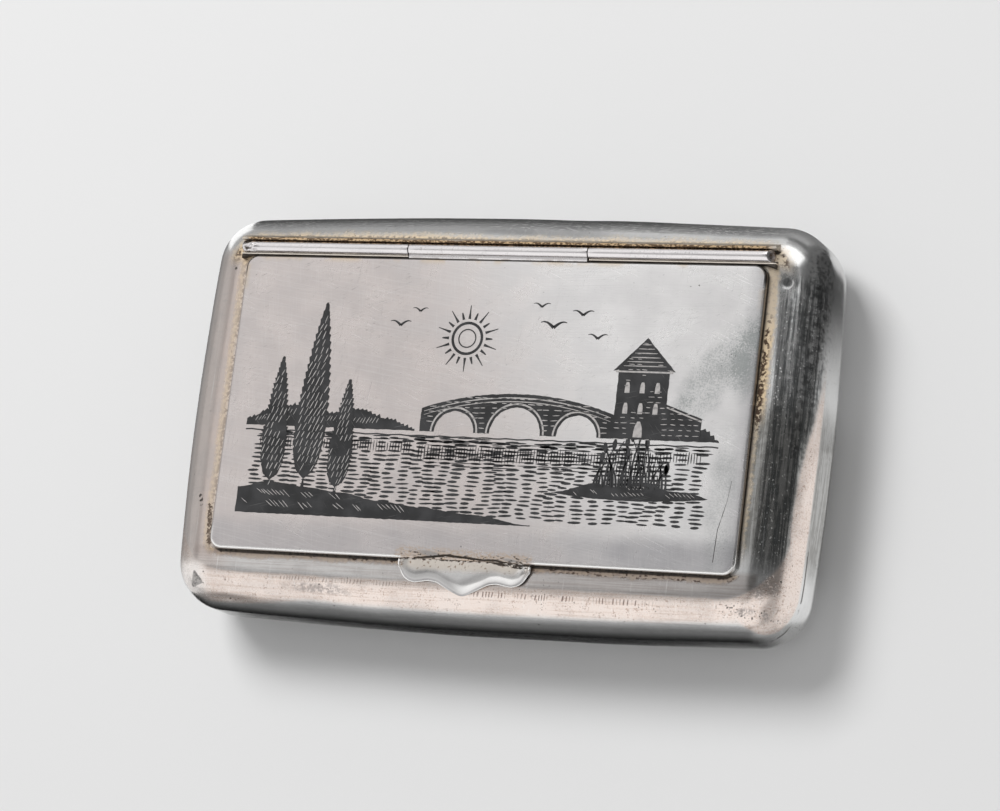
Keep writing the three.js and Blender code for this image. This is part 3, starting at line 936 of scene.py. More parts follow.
    def marks(self, g: SurfaceGraph, cloudy: Signal) -> tuple[Signal, Signal]:
        """Pits, dents' dirt, the crack and tool marks.

        Args:
            g: the material's graph.
            cloudy: broad noise.

        Returns:
            Dark marks and brown tool marks, each 0 to 1.
        """
        dark = g.specks(1.4, 0.12, 0.40, 5.0).most(g.specks(0.6, 0.08, 0.36, 15.0))
        pitted = g.patches(self.pitted)
        dark = dark.most(
            g.specks(0.36, 0.13, 1.2, 25.0) * pitted * g.blotch((0.9, 0.7, 0.7), 3.0, 28.0, 0.42, 0.54)
        )
        for centre, radius in self.spots:
            dark = dark.most(g.spot(centre, radius))
        split = g.scribe(self.crack, 0.52) * g.step(g.cloud(1.6, 3.0, 50.0), 0.40, 0.50)
        dark = dark.most(g.ragged(g.scribe(self.nick, 0.75), (0.5, 0.5, 0.5), 5.0))
        dark = dark.most(g.scribe([(1.3, 22.1, 15.0), (1.4, 23.0, 14.95)], 0.14))
        row = g.band(-g.y + cloudy.swing(0.4), 21.30, 21.92, 0.12) * g.band(g.x, 1.0, 23.5, 1.5)
        second = g.band(-g.y + cloudy.swing(0.4), 20.8, 21.25, 0.12) * g.band(g.x, -25.0, -8.0, 2.0) * 0.55
        beat = g.math(
            "SINE", (g.x - g.y * 0.22 + cloudy * 0.8 + g.grain((1.3, 9.0, 9.0), 0.0, 0.0, 82.0) * 0.7) * 14.6
        )
        worn = g.blotch((1.1, 9.0, 9.0), 1.0, 81.0, 0.34, 0.60)
        ticks = g.step(beat, 0.0, 0.9) * worn * (row + second).least(1.0) * g.step(g.z, 12.0, 13.0)
        return dark.most(split), ticks

    def material(self) -> Material:
        """Builds the material."""
        g = SurfaceGraph("case_silver")
        cloudy = g.cloud(5.0, 5.0)
        fine = g.cloud(0.9, 5.0, 6.0)
        crumbs = g.cloud(0.42, 4.0, 21.0)
        powder = g.cloud(0.22, 3.0, 35.0)
        lengthways = g.grain((9.0, 0.22, 0.35), 0.0, 3.0, 4.0)
        sideways = g.grain((0.28, 8.0, 0.5), 0.0, 3.0, 14.0)
        film, crust, gap_dirt_and_shadow = self.brown(g, cloudy, crumbs)
        dark, ticks = self.marks(g, cloudy)
        smear = g.patch(self.smeared) * g.step(fine * 0.5 + powder * 0.5, 0.38, 0.56) * 0.7
        scuffs = g.patches(self.scuffs)
        smear = smear.most(scuffs.least(1.0) * g.step(powder * 0.6 + fine * 0.4, 0.42, 0.56) * 0.75)
        facet = g.scribe(self.facet, 0.62).most(g.spot((-36.0, -21.8, 14.05), 0.5))
        ridge = g.scribe(self.ridge, 0.18)
        far = g.away(self.dent)
        # ring: a painted highlight on one side of the dent's rim, paler and less metallic.
        dent, ring = g.fall(far, 0.35, 0.72), g.band(far, 0.62, 0.80, 0.12) * g.step(g.x - g.y, 18.9, 19.6)

        left = g.step(-g.x, 30.0, 36.0) * g.fall(g.y, 18.5, 20.5)
        outer = g.outside((0.0, 0.0), (39.3, 20.6), 7.5) - g.step(g.y, -9.0, 7.0) * 1.3 + cloudy.swing(0.5)
        height = g.z + g.step(g.x, 34.0, 38.5) * 3.5 + g.step(-g.x, 20.0, 34.0) * 1.2
        walls = g.step(outer, -0.22, 0.25) * g.fall(g.y, 2.0, 12.0) * g.step(height, 13.2, 13.95)
        warm = (walls + left * 0.62 * g.step(g.z, 12.0, 14.4)).least(1.0) * (0.74 + cloudy * 0.5)
        ends = g.step(g.y + cloudy.swing(3.0), -18.0, -13.5) * g.fall(g.y + cloudy.swing(3.0), 16.5, 19.0)
        # Painted shade: a dark streaky band down the right shoulder, standing in for a dark reflection.
        shade = (
            g.step(g.x + cloudy.swing(0.8), 35.2, 36.8)
            * g.step(g.z + g.step(g.y, -4.0, 6.0) * 1.8, 12.4, 13.4) * (1.0 - walls) * ends
        )
        low_rim = g.step(g.x, 33.9, 34.7) * g.fall(g.y + cloudy.swing(4.0), 0.0, 5.0) * ends * (1.0 - walls)
        streak = g.step(sideways * 0.7 + fine * 0.3, 0.42, 0.58)
        pocks = g.specks(0.42, 0.09, 1.0, 44.0) * shade * g.step(powder, 0.38, 0.55)
        mottle = g.step(crumbs * 0.5 + fine * 0.5, 0.46, 0.60)
        grime = g.band(g.x, 38.4, 40.4, 0.4) * g.step(g.y, -9.0, -2.0) * g.step(g.z, 8.5, 9.8) * (1.0 - walls)
        crinkle = (
            g.blotch((0.8, 0.3, 0.3), 4.0, 57.0, 0.52, 0.60) * g.step(g.y, 22.6, 23.6)
            * g.band(g.z, 11.2, 14.2, 0.5)
        )

        blush = walls * g.step(lengthways * 0.45 + powder * 0.3 + cloudy * 0.25, 0.47, 0.60)
        rim = g.step(-g.y, 17.2, 18.0) * (1.0 - walls) * g.step(g.z, 14.7, 14.9)
        # Front rim: a brownish tint, partly tarnish and partly painted shade, darker towards the right.
        rim_tint_and_shade = 0.34 + g.step(g.x, -20.0, 12.0) * 0.22 + g.step(lengthways, 0.45, 0.6) * 0.15
        dark_film = (g.step(-g.y, 17.6, 18.4) * 0.75 + g.step(crumbs, 0.46, 0.60) * 0.45).least(1.0)
        dull_film = g.step(g.y + cloudy.swing(4.0), 9.0, 14.0) * g.step(g.x, 33.0, 34.0) * 0.5
        brown_film = g.coats(self.tan, [(dark_film, self.umber), (dull_film, self.film_grey)])
        colour = g.coats(g.mix(warm.least(1.0), self.cool, self.copper), [
            (blush * 0.40, self.blush),
            (walls * g.step(powder * 0.55 + fine * 0.45, 0.57, 0.63) * 0.5, self.speckle),
            (left * (0.26 + g.step(g.x, -37.0, -36.0) * 0.34) * g.step(g.y, -22.0, -18.5), self.left_brown),
            (g.step(-g.x, 33.5, 36.0) * g.step(-g.y, 18.0, 20.5) * 0.6, self.pale),
            (g.step(cloudy, 0.44, 0.66) * 0.22, self.cloud),
            (g.step(lengthways, 0.54, 0.74) * 0.22 * (1.0 - shade), self.line),
            (rim * rim_tint_and_shade, self.rim_brown),
            # Painted shadow: the front rim darker close to the lid's edge.
            (g.fall(self.rim_distance(g) + cloudy.swing(0.8), 0.1, 1.2) * rim * 0.45, self.lid_shadow_on_rim),
            (low_rim * (0.62 + streak * 0.3), self.olive),
            (shade * streak * 0.80, self.streak),
            (grime * mottle * 0.6, self.grime),
            (g.step(sideways, 0.58, 0.78) * 0.30, self.brushed),
            (crinkle * g.step(cloudy, 0.42, 0.58) * 0.7, self.gleam),
            (film * (0.68 + cloudy * 0.3), brown_film),
            (smear, self.smear),
            (facet * (0.62 + g.step(powder * 0.5 + crumbs * 0.5, 0.45, 0.56) * 0.33), self.facet_grey),
            (dent * 0.55, self.dent_dark),
            (ring * 0.6, self.gleam),
            (ticks * 0.80, self.tick),
            (crust * 0.95, self.crust),
            # Black beside the lid's edge: dirt and painted shadow.
            (gap_dirt_and_shadow.least(1.0) * 0.97, self.soot),
            (dark * 0.88, self.pit),
        ])
        roughness = (
            0.15 + cloudy * 0.08 + film * 0.22 + crust * 0.35 + mottle * 0.05 + (smear + facet) * 0.15
            + walls * 0.04
        )
        metallic = 1.0 - film * 0.30 - crust * 0.55 - gap_dirt_and_shadow.least(1.0) * 0.3 - ring * 0.5
        relief = (
            cloudy * 0.02 + fine * 0.004 + lengthways * 0.003 + sideways * (0.003 + shade * 0.012)
            + crumbs * (film * 0.03 + crust * 0.05) + ridge * 0.05 - pocks * 0.02
            - dark * 0.035 - ticks * 0.02 - dent * 0.015 + crinkle * 0.012
        )
        return g.finish(colour, roughness, relief, metallic)


@dataclass(frozen=True)
class HingeSilver:
    """Silver tube rubbed bright on top, brown where it meets its neighbours."""

    hinge: HingeSizes
    bright: Colour = (0.84, 0.81, 0.81)
    brown: Colour = (0.16, 0.09, 0.045)
    worn: Colour = (0.60, 0.585, 0.61)
    hollow: Colour = (0.05, 0.04, 0.03)
    nick: Colour = (0.35, 0.33, 0.32)

    def material(self) -> Material:
        """Builds the material."""
        g = SurfaceGraph("hinge_silver")
        rubbed = g.grain((7.0, 0.5, 0.5), 0.0, 2.0)
        grime = g.blotch((1.4, 0.5, 0.5), 4.0, 9.0, 0.40, 0.62)
        height = g.z - self.hinge.axis_z
        low = g.fall(height + grime.swing(0.3), -0.05, 0.22) * (0.55 + grime * 0.45)
        nicks = g.scratches(0.7, 0.07, 70.0, 0.3)
        solder = g.fall(g.x, -34.4, -32.2)
        lumps = g.grain((0.75, 0.42, 0.42), 0.0, 2.0, 77.0)
        colour = g.coats(g.mix(g.step(rubbed, 0.42, 0.70) * 0.30, self.bright, self.worn), [
            (solder * g.fall(lumps, 0.42, 0.50), self.hollow),
            (low * 0.92, self.brown),
            (nicks * 0.3, self.nick),
        ])
        relief = rubbed * 0.006 - nicks * 0.006 + lumps * solder * 0.5
        return g.finish(colour, 0.19 + rubbed * 0.08 + low * 0.4, relief, 1.0 - low * 0.4)


@dataclass(frozen=True)
class InnerSilver:
    """Dull, never polished silver of the hidden frames, grey with brown freckles."""

    name: str
    base: Colour = (0.55, 0.52, 0.49)
    freckle: Colour = (0.17, 0.11, 0.065)
    amount: float = 0.5
    cloud: Colour = (0.36, 0.35, 0.34)

    def material(self) -> Material:
        """Builds the material."""
        g = SurfaceGraph(self.name)
        cloudy = g.cloud(3.0, 5.0)
        crumbs = g.cloud(0.4, 4.0, 13.0)
        spots = g.step(crumbs * 0.5 + cloudy * 0.5, 0.62 - 0.2 * self.amount, 0.70 - 0.2 * self.amount)
        colour = g.mix(g.step(cloudy, 0.35, 0.65) * 0.5, self.base, self.cloud)
        colour = g.mix(spots * 0.9, colour, self.freckle)
        return g.finish(colour, 0.38 + cloudy * 0.2 + spots * 0.2, crumbs * 0.02, 1.0 - spots * 0.5)


@dataclass(frozen=True)
class BearerSilver:
    """Strip under the knuckles: bright lip in front, crusted brown and gold behind, with black in the groove
    and painted shade along the lip's front.
    """

    hinge: HingeSizes
    lip: Colour = (0.86, 0.79, 0.70)
    gold: Colour = (0.70, 0.51, 0.31)
    umber: Colour = (0.085, 0.045, 0.022)
    faded: Colour = (0.66, 0.61, 0.54)
    # soot: black of the groove and of the painted shade beside the lid.
    soot: Colour = (0.02, 0.013, 0.009)

    def material(self) -> Material:
        """Builds the material."""
        g = SurfaceGraph("bearer_silver")
        cloudy = g.cloud(3.0, 5.0, 2.0)
        crumbs = g.grain((0.34, 0.20, 0.24), 0.0, 5.0, 13.0)
        back = g.y - self.hinge.axis_y
        groove = self.hinge.knuckle_radius + self.hinge.clearance
        fade = g.step(back + cloudy.swing(0.5), groove + 0.22, groove + 0.45)
        near = g.fall(back, groove, groove + 0.35)
        spots = g.step(crumbs * 0.8 + cloudy * 0.2 + near * 0.02, 0.485, 0.515) * (1.0 - fade * 0.5)
        # Black in the groove under the knuckles, and painted shade along the front of the lip beside the lid.
        hidden = g.fall(abs(back), groove - 0.06, groove - 0.01).most(
            g.step(-back, groove + 0.11, groove + 0.15)
        )
        ends = g.step(abs(g.x), 33.6, 34.6)
        colour = g.coats(g.mix(g.step(back, -0.2, 0.2), self.lip, self.gold), [
            (spots * 0.92 * g.step(back, -0.2, 0.2), self.umber),
            ((fade * 0.75).most(ends * 0.8) * g.step(back, -0.2, 0.2), self.faded),
            (hidden * 0.95, self.soot),
        ])
        return g.finish(colour, 0.26 + cloudy * 0.1 + spots * 0.25, crumbs * 0.03, 1.0 - spots * 0.5)


@dataclass(frozen=True)
class ThumbSilver:
    """Thumbpiece: painted highlight and shade bands along its free edge, a painted white edge line, brown
    where it meets the lid.
    """

    front: float
    grey: Colour = (0.57, 0.56, 0.555)
    # bright: colour of the painted highlight band and of the painted edge line.
    bright: Colour = (0.97, 0.955, 0.94)
    tan: Colour = (0.70, 0.60, 0.49)
    pale: Colour = (0.70, 0.69, 0.68)
    plain: Colour = (0.36, 0.355, 0.35)
    line: Colour = (0.30, 0.29, 0.29)
    fleck: Colour = (0.20, 0.12, 0.07)
    soot: Colour = (0.03, 0.02, 0.015)
    split: tuple[Point, ...] = (
        (3.6, -17.95, 15.85), (5.6, -18.1, 15.8), (7.4, -18.35, 15.75), (8.5, -18.15, 15.7)
    )

    def material(self) -> Material:
        """Builds the material."""
        g = SurfaceGraph("thumb_silver")
        source = {"attribute_type": "GEOMETRY", "attribute_name": "margin"}
        margin = g.node("ShaderNodeAttribute", source, output="Fac")
        cloudy = g.cloud(2.6, 4.0, 3.0)
        fine = g.cloud(0.4, 4.0, 9.0)
        # Distance from the free edge, made uneven: it places the painted highlight and shade bands.
        worn = margin + cloudy.swing(0.5)
        # streak: painted highlight band on the right; plain: painted darker band on the left.
        streak = g.band(worn, 0.50, 1.25, 0.35) * g.step(g.x, -1.5, 1.5)
        plain = g.band(worn, 0.42, 1.35, 0.35) * g.fall(g.x, -2.0, 0.5)
        # line: painted dark line inside the edge; rim: painted white edge line, less metallic so it shows
        # bright.
        line = g.band(margin, 0.20, 0.36, 0.08)
        rim = g.fall(margin, 0.10, 0.17)
        root = g.step(g.y + cloudy.swing(1.2), self.front - 1.7, self.front - 0.7)
        flecks = root * g.step(fine * 0.6 + cloudy * 0.4, 0.56, 0.60)
        split = g.ragged(g.scribe(self.split, 0.8), (0.6, 0.25, 0.4), 12.0).most(
            g.step(g.y, self.front - 0.2, self.front - 0.05) * g.step(fine, 0.46, 0.56)
        )
        colour = g.coats(g.mix(g.step(cloudy, 0.35, 0.65) * 0.45, self.grey, self.pale), [
            (root * 0.50, self.tan),
            (plain * 0.7, self.plain),
            (streak * 0.75, self.bright),
            (line * 0.55, self.line),
            (rim, self.bright),
            (flecks * 0.7, self.fleck),
            (split * 0.95, self.soot),
        ])
        roughness = 0.20 + cloudy * 0.08 + root * 0.1 - streak * 0.05
        relief = fine * 0.004 + cloudy * 0.02 - split * 0.03
        return g.finish(colour, roughness, relief, 1.0 - rim * 0.75 - root * 0.15)


@dataclass(frozen=True)
class Niello:
    """Black fused metal of the picture, satin, with a few silver scratches over it."""

    black: Colour = (0.034, 0.034, 0.035)
    worn: Colour = (0.056, 0.056, 0.058)
    scratch: Colour = (0.4, 0.39, 0.385)

    def material(self) -> Material:
        """Builds the material."""
        g = SurfaceGraph("niello")
        cloudy = g.cloud(2.5, 5.0)
        lines = g.scratches(4.0, 0.10, 14.0, 0.2) + g.scratches(3.0, 0.09, -50.0, 0.2, 7.0)
        colour = g.mix(g.step(cloudy, 0.35, 0.65), self.black, self.worn)
        colour = g.mix(lines.least(1.0) * 0.3, colour, self.scratch)
        return g.finish(colour, 0.42 + cloudy * 0.12, cloudy * 0.006, 0.55)


@dataclass(frozen=True)
class Engraved:
    """Bright silver of the cut lines inside the black."""

    silver: Colour = (0.66, 0.63, 0.615)
    shadow: Colour = (0.36, 0.35, 0.35)

    def material(self) -> Material:
        """Builds the material."""
        g = SurfaceGraph("engraved_silver")
        grain = g.cloud(0.5, 3.0)
        return g.finish(g.mix(g.step(grain, 0.4, 0.7) * 0.5, self.silver, self.shadow), 0.34 + grain * 0.1)


# The case


@dataclass(frozen=True)
class Dent:
    """Soft push into the sheet: its middle, radius and the way and distance it goes, in millimetres."""

    centre: Point
    radius: float
    push: Point

    def at(self, point: Vector) -> Vector:
        """How far the dent moves a point."""
        share = exp(-((point - Vector(self.centre)).length / self.radius) ** 2)
        return Vector(self.push) * share


@dataclass
class Case:
    """The two shells, the bezel under the mouth and everything fixed to them."""

    sizes: CaseSizes
    lid: LidSizes
    hinge: HingeSizes
    ripple: float = 0.05
    ripple_length: float = 11.0
    lip: float = 0.22
    rear_lip: float = 0.35
    lip_height: float = 0.1
    lip_bevel: float = 0.08
    rear_lip_height: float = 0.6
    notch_floor: float = -0.45
    notch_margin: float = 0.15
    horn_length: float = 1.7
    horn_reach: float = 0.45
    knuckle_slant: float = 0.42
    dents: tuple[Dent, ...] = (
        Dent((-35.8, -21.9, 14.2), 0.5, (0.06, 0.14, -0.20)),
        Dent((-31.6, -23.8, 13.0), 0.6, (0.0, 0.26, -0.20)),
        Dent((36.2, 17.2, 14.8), 1.1, (-0.05, 0.0, -0.24)),
        Dent((38.6, -6.0, 12.8), 2.5, (-0.12, 0.0, -0.12)),
        Dent((34.0, -21.0, 13.2), 2.4, (-0.03, 0.10, -0.12)),
        Dent((-20.0, -23.8, 12.8), 3.0, (0.0, 0.12, -0.08)),
        Dent((8.0, 24.6, 12.2), 4.0, (0.0, -0.10, -0.05)),
    )

    def outline(self, depth: float) -> list[Plan]:
        """Plan outline of the case moved inwards by a depth."""
        s = self.sizes
        half = (s.length / 2 - s.end_bow - depth, s.width / 2 - s.side_bow - depth)
        return bowed_rectangle(half, max(s.corner_radius - depth, 0.05), (s.end_bow, s.side_bow))

    def mouth(self, grow: float = 0.0) -> list[Plan]:
        """Plan outline of the mouth, grown all round."""
        half = (self.lid.half[0] - self.lid.overlap + grow, self.lid.half[1] - self.lid.overlap + grow)
        return bowed_rectangle(half, self.lid.mouth_corner_radius + grow, (0.0, 0.0), self.lid.centre)

    def worked(self, point: Vector) -> Vector:
        """Moves a point of the sheet as years of use have."""
        height = min(point.z / 3.0, 1.0)
        shift = noise.noise_vector(point / self.ripple_length) * self.ripple * height
        for dent in self.dents:
            shift += dent.at(point)
        s, moved = self.sizes, point + shift
        limits = ((-s.length / 2, s.length / 2), (-s.width / 2, s.width / 2), (0.0, s.depth))
        return Vector([min(max(value, low), high) for value, (low, high) in zip(moved, limits)])

    def shoulder(self, depth: float, low: float, high: float, steps: int) -> list[list[Point]]:
        """Rings up the rolled shoulder of the outer or inner face.

        Args:
            depth: 0 for the outer face, the sheet for the inner one.
            low: height of the first ring, on the upright wall.
            high: height of the flat rim on that face.
            steps: rings round the curve.

        Returns:
            The rings from low to high.
        """
        radius = self.sizes.shoulder_radius - depth
        turns = [(radius * (1 - cos(a)), radius * (1 - sin(a))) for a in quarter(steps)]
        rings = [level(self.outline(depth + inwards), high - down) for inwards, down in turns]
        return [level(self.outline(depth), low), *rings]

    def upper_shell(self) -> Skin:
        """Rim, shoulder and upper wall as one sheet."""
        s = self.sizes
        outer = self.shoulder(0.0, s.seam, s.depth, 30)
        inner = self.shoulder(s.sheet, s.seam, s.depth - s.sheet, 14)
        mouth = self.mouth()
        rim = self.outline(s.shoulder_radius)
        rings = outer + [level(between(rim, mouth, k / 6), s.depth) for k in range(1, 6)]
        rings += [level(mouth, s.depth), level(mouth, s.depth - s.sheet)]
        rings += [level(between(mouth, rim, k / 4), s.depth - s.sheet) for k in range(1, 4)]
        rings += inner[::-1]
        return loft(rings, Ends.JOINED).moved(self.worked)

    def lower_shell(self) -> Skin:
        """Base, rolled base edge and wall as one sheet."""
        s = self.sizes
        edge, inner_edge = s.base_edge_radius, s.base_edge_radius - s.sheet
        flat, inner_flat = self.outline(edge), self.outline(s.sheet + inner_edge)
        wall = [edge + (s.seam - edge) * k / 6 for k in range(1, 7)]
        rings = [level(shrunk(flat, k), 0.0) for k in (0.2, 0.4, 0.6, 0.8)]
        rings += [level(self.outline(edge * (1 - sin(a))), edge * (1 - cos(a))) for a in quarter(24)]
        rings += [level(self.outline(0.0), z) for z in wall]
        rings += [level(self.outline(s.sheet), z) for z in wall[::-1]]
        turns = [(inner_edge * (1 - sin(a)), inner_edge * (1 - cos(a))) for a in quarter(12)[::-1]]
        rings += [level(self.outline(s.sheet + inwards), s.sheet + up) for inwards, up in turns]
        rings += [level(shrunk(inner_flat, k), s.sheet) for k in (0.75, 0.5, 0.25)]
        return loft(rings, Ends.POLES).moved(self.worked)

    def bezel(self) -> Skin:
        """Upright frame under the edge of the mouth."""
        low, high = box_mm("mouth_bezel")
        grow = (high.x - low.x) / 2 - (self.lid.half[0] - self.lid.overlap)
        return frame_ring(self.mouth(grow), self.mouth(), low.z, high.z)

    def bearer_section(self, x: float, notched: bool) -> list[Point]:
        """Cross-section of the bearer: base, rear lip, groove and front lip.

        Args:
            x: its place along the hinge.
            notched: True where the front lip is cut down for the lid's web.

        Returns:
            Points round the section.
        """
        h, bevel = self.hinge, self.lip_bevel
        low, high = box_mm("hinge_bearer")
        groove, foot = h.knuckle_radius + h.clearance, low.z - h.axis_z
        rear, front = groove + self.rear_lip, -groove - self.lip
        horn = self.horn_reach * max(0.0, 1 - (high.x - abs(x)) / self.horn_length) ** 2
        section = [(front - horn, foot), (rear + 0.55, foot + 0.5), (rear + 0.22, 0.05)]
        section += [(rear, self.rear_lip_height - bevel), (rear - bevel, self.rear_lip_height)]
        section += [(groove + 0.04, self.rear_lip_height), (groove, self.rear_lip_height - 0.05)]
        section += arc((0.0, 0.0), groove, (-pi * k / 12 for k in range(13)))
        section += [(-groove, self.lip_height), (front - horn * 0.8, self.lip_height)]
        section += [(front - horn, self.lip_height - bevel)]
        floor = self.notch_floor if notched else inf
        return [(x, h.axis_y + y, h.axis_z + (min(z, floor) if y < 0 else z)) for y, z in section]

    def bearer(self) -> Skin:
        """Grooved strip that carries the outer knuckles."""
        low, high = box_mm("hinge_bearer")
        middle_low, middle_high = box_mm("hinge_knuckle_middle")
        left, right = middle_low.x - self.notch_margin, middle_high.x + self.notch_margin
        skin = Skin()
        for start, stop, notched in ((low.x, left, False), (left, right, True), (right, high.x, False)):
            places = [start + (stop - start) * k / 20 for k in range(21)]
            skin.add(loft([self.bearer_section(x, notched) for x in places], Ends.FLAT))
        return skin

    def plug(self) -> Skin:
        """Lumpy bead of solder that closes the left end of the hinge."""
        low, high = box_mm("hinge_plug")
        h, length = self.hinge, high.x - low.x
        bead = [(high.x + 0.05, h.knuckle_radius * 0.98)]
        bead += [(high.x - length * sin(a), h.knuckle_radius * (0.55 + 0.42 * cos(a))) for a in quarter(6)]
        bead.append((low.x, h.knuckle_radius * 0.3))
        skin = turned([(x, r) for x, r in reversed(bead)], (h.axis_y, h.axis_z), Ends.POLES, 28)
        return skin.moved(lambda p: p + noise.noise_vector(p * 2.3) * 0.14 * min(1.0, (high.x - p.x) / 0.4))

    def pin(self) -> Skin:
        """Wire through the knuckles, with a slightly domed end."""
        low, high = box_mm("hinge_pin")
        radius = (high.z - low.z) / 2
        profile = (
            [(low.x, radius)] + [(high.x - 0.12 * (1 - sin(a)), radius * cos(a * 0.8)) for a in quarter(4)]
        )
        return turned(profile, (self.hinge.axis_y, self.hinge.axis_z), Ends.POLES, 24)

    def build(self, bench: Bench) -> None:
        """Builds and dresses every piece of the case."""
        silver = CaseSilver(self.lid).material()
        dull = InnerSilver("inner_silver").material()
        solder = BearerSilver(self.hinge).material()
        bright = HingeSilver(self.hinge).material()
        dark = InnerSilver("pin_metal", (0.22, 0.21, 0.21), (0.05, 0.03, 0.02), 0.6).material()
        bench.add(
            "silver_upper_shell", self.upper_shell(), Body.CASE, "case_silver", silver, "upper_shell", 40.0
        )
        bench.add(
            "silver_lower_shell", self.lower_shell(), Body.CASE, "case_silver", silver, "lower_shell", 40.0
        )
        bench.add("bezel_frame", self.bezel(), Body.CASE, "inner_silver", dull, "mouth_bezel")
        bench.add("bearer_strip", self.bearer(), Body.CASE, "inner_silver", solder, "hinge_bearer")
        for side, slant in (("left", 0.0), ("right", self.knuckle_slant)):
            low, high = box_mm(f"hinge_knuckle_{side}")
            skin = tube(low.x, high.x, self.hinge, slant=slant)
            bench.add(
                f"outer_knuckle_{side}", skin, Body.CASE, "hinge_silver", bright, f"hinge_knuckle_{side}"
            )
        bench.add("plug_bead", self.plug(), Body.CASE, "hinge_silver", bright, "hinge_plug", 60.0)
        bench.add("pin_wire", self.pin(), Body.CASE, "pin_metal", dark, "hinge_pin")


# The lid


@dataclass
class Lid:
    """The plate with its flange, middle knuckle and thumbpiece."""

    sizes: LidSizes
    case: CaseSizes
    hinge: HingeSizes
    flange_thickness: float = 0.6
    web: Plan = (-0.35, 0.25)
    thumb_reach: float = 4.3
    thumb_lift: float = 0.10
    thumb_sheet: float = 0.5
    thumb_crown: float = 0.10
    thumb_steps: int = 18
    edge_steps: int = 44
    edge_rolls: tuple[Plan, ...] = ((0.20, 0.55), (0.14, 1.5))
    edge_softening: tuple[float, ...] = (-0.3, -0.15, 0.0, 0.15, 0.3)
    web_bevel: float = 0.06
    thumb_outline: tuple[Plan, ...] = (
        (0.0, 4.3), (0.7, 4.12), (2.2, 3.35), (3.4, 2.68), (4.5, 2.55), (5.4, 2.74),
        (6.3, 2.88), (7.2, 2.62), (7.9, 2.05), (8.3, 1.35), (8.5, 0.75),
    )

    def plate(self) -> Skin:
        """Flat plate with a rounded top edge."""
        s = self.sizes
        outline = bowed_rectangle(s.half, s.corner_radius, (0.0, 0.0), s.centre)
        foot, edge = 0.08, s.edge_radius
        rings = [level(shrunk(inset(outline, foot), k), s.underside) for k in (0.25, 0.5, 0.75, 1.0)]
        rings += [level(outline, s.underside + foot)]
        rings += [level(inset(outline, edge * (1 - cos(a))), s.top - edge * (1 - sin(a))) for a in quarter(8)]
        rings += [level(shrunk(inset(outline, edge), k), s.top) for k in (0.985, 0.8, 0.6, 0.4, 0.2)]
        return loft(rings, Ends.POLES)

    def flange(self) -> Skin:
        """Frame that drops into the mouth."""
        low, high = box_mm("lid_flange")
        half = ((high.x - low.x) / 2, (high.y - low.y) / 2)
        centre = ((low.x + high.x) / 2, (low.y + high.y) / 2)
        clearance = self.sizes.half[0] - self.sizes.overlap - half[0]
        radius = self.sizes.mouth_corner_radius - clearance
        outer = bowed_rectangle(half, radius, (0.0, 0.0), centre)
        inner_half = (half[0] - self.flange_thickness, half[1] - self.flange_thickness)
        inner = bowed_rectangle(inner_half, radius - self.flange_thickness, (0.0, 0.0), centre)
        return frame_ring(outer, inner, low.z, high.z)

    def middle_knuckle(self) -> Skin:
        """Middle tube and the web that joins it to the plate."""
        low, high = box_mm("hinge_knuckle_middle")
        skin = tube(low.x, high.x, self.hinge)
        h = self.hinge
        bottom, top = h.axis_z + self.web[0], h.axis_z + self.web[1]
        bevel, rear = self.web_bevel, h.axis_y - 0.6
        section = [(low.y, bottom), (rear, bottom), (rear, top + bevel)]
        section += [(low.y + 2 * bevel, top), (low.y, top - bevel)]
        ends = (low.x + 0.05, high.x - 0.05)
        return skin.add(loft([[(x, y, z) for y, z in section] for x in ends], Ends.FLAT))

    def thumb_reach_at(self, x: float) -> float:
        """How far the thumbpiece reaches from the lid's edge at a place along it."""
        x = min(abs(x), self.thumb_outline[-1][0])
        for (x0, r0), (x1, r1) in zip(self.thumb_outline, self.thumb_outline[1:]):
            if x <= x1:
                t = (x - x0) / (x1 - x0)
                return r0 + (r1 - r0) * t
        return self.thumb_outline[-1][1]

    def thumb_section(self, x: float, reach: float) -> list[Point]:
        """Section of the thumbpiece in Y and Z: over the rim, down the shoulder, round the edge and back."""
        s, thickness, steps = self.sizes, self.thumb_sheet, self.thumb_steps
        shoulder = self.case.shoulder_radius
        centre = (shoulder - self.case.width / 2, self.case.depth - shoulder)
        inner = box_mm("thumbpiece")[1].z - thickness - centre[1]

        def sheet(y: float, height: float) -> Plan:
            """Point at a height above the inner face of the bent sheet."""
            lift = self.thumb_lift * ((s.front - y) / self.thumb_reach) ** 2
            if y > centre[0]:
                return y, centre[1] + inner + height + lift
            angle = asin(min((centre[0] - y) / (inner + thickness), 0.95))
            radius = inner + height
            return centre[0] - radius * sin(angle), centre[1] + radius * cos(angle) + lift

        edge = 0.5 * thickness
        shares = [k / steps for k in range(steps + 1)]
        run = [s.front + 0.02 - (reach - edge) * (1 - (1 - t) ** 1.5) for t in shares]
        crown = [self.thumb_crown * sin(pi * t) for t in shares]
        sides = max(0.0, self.thumb_outline[-1][0] - abs(x))
        margins = [min(y - run[-1], sides) for y in run]
        roll = [sum(drop * exp(-((m / length) ** 2)) for drop, length in self.edge_rolls) for m in margins]
        section = [sheet(y, thickness + c - r * min(1.0, reach / 2)) for y, c, r in zip(run, crown, roll)]
        low_edge = (thickness - roll[-1]) / 2
        tip = [
            (run[-1] - edge * sin(a), low_edge + low_edge * cos(a)) for a in (pi * k / 8 for k in range(1, 8))
        ]
        section += [sheet(y, h) for y, h in tip]
        section += [sheet(y, 0.0) for y in reversed(run)]
        return [(x, y, z) for y, z in section]

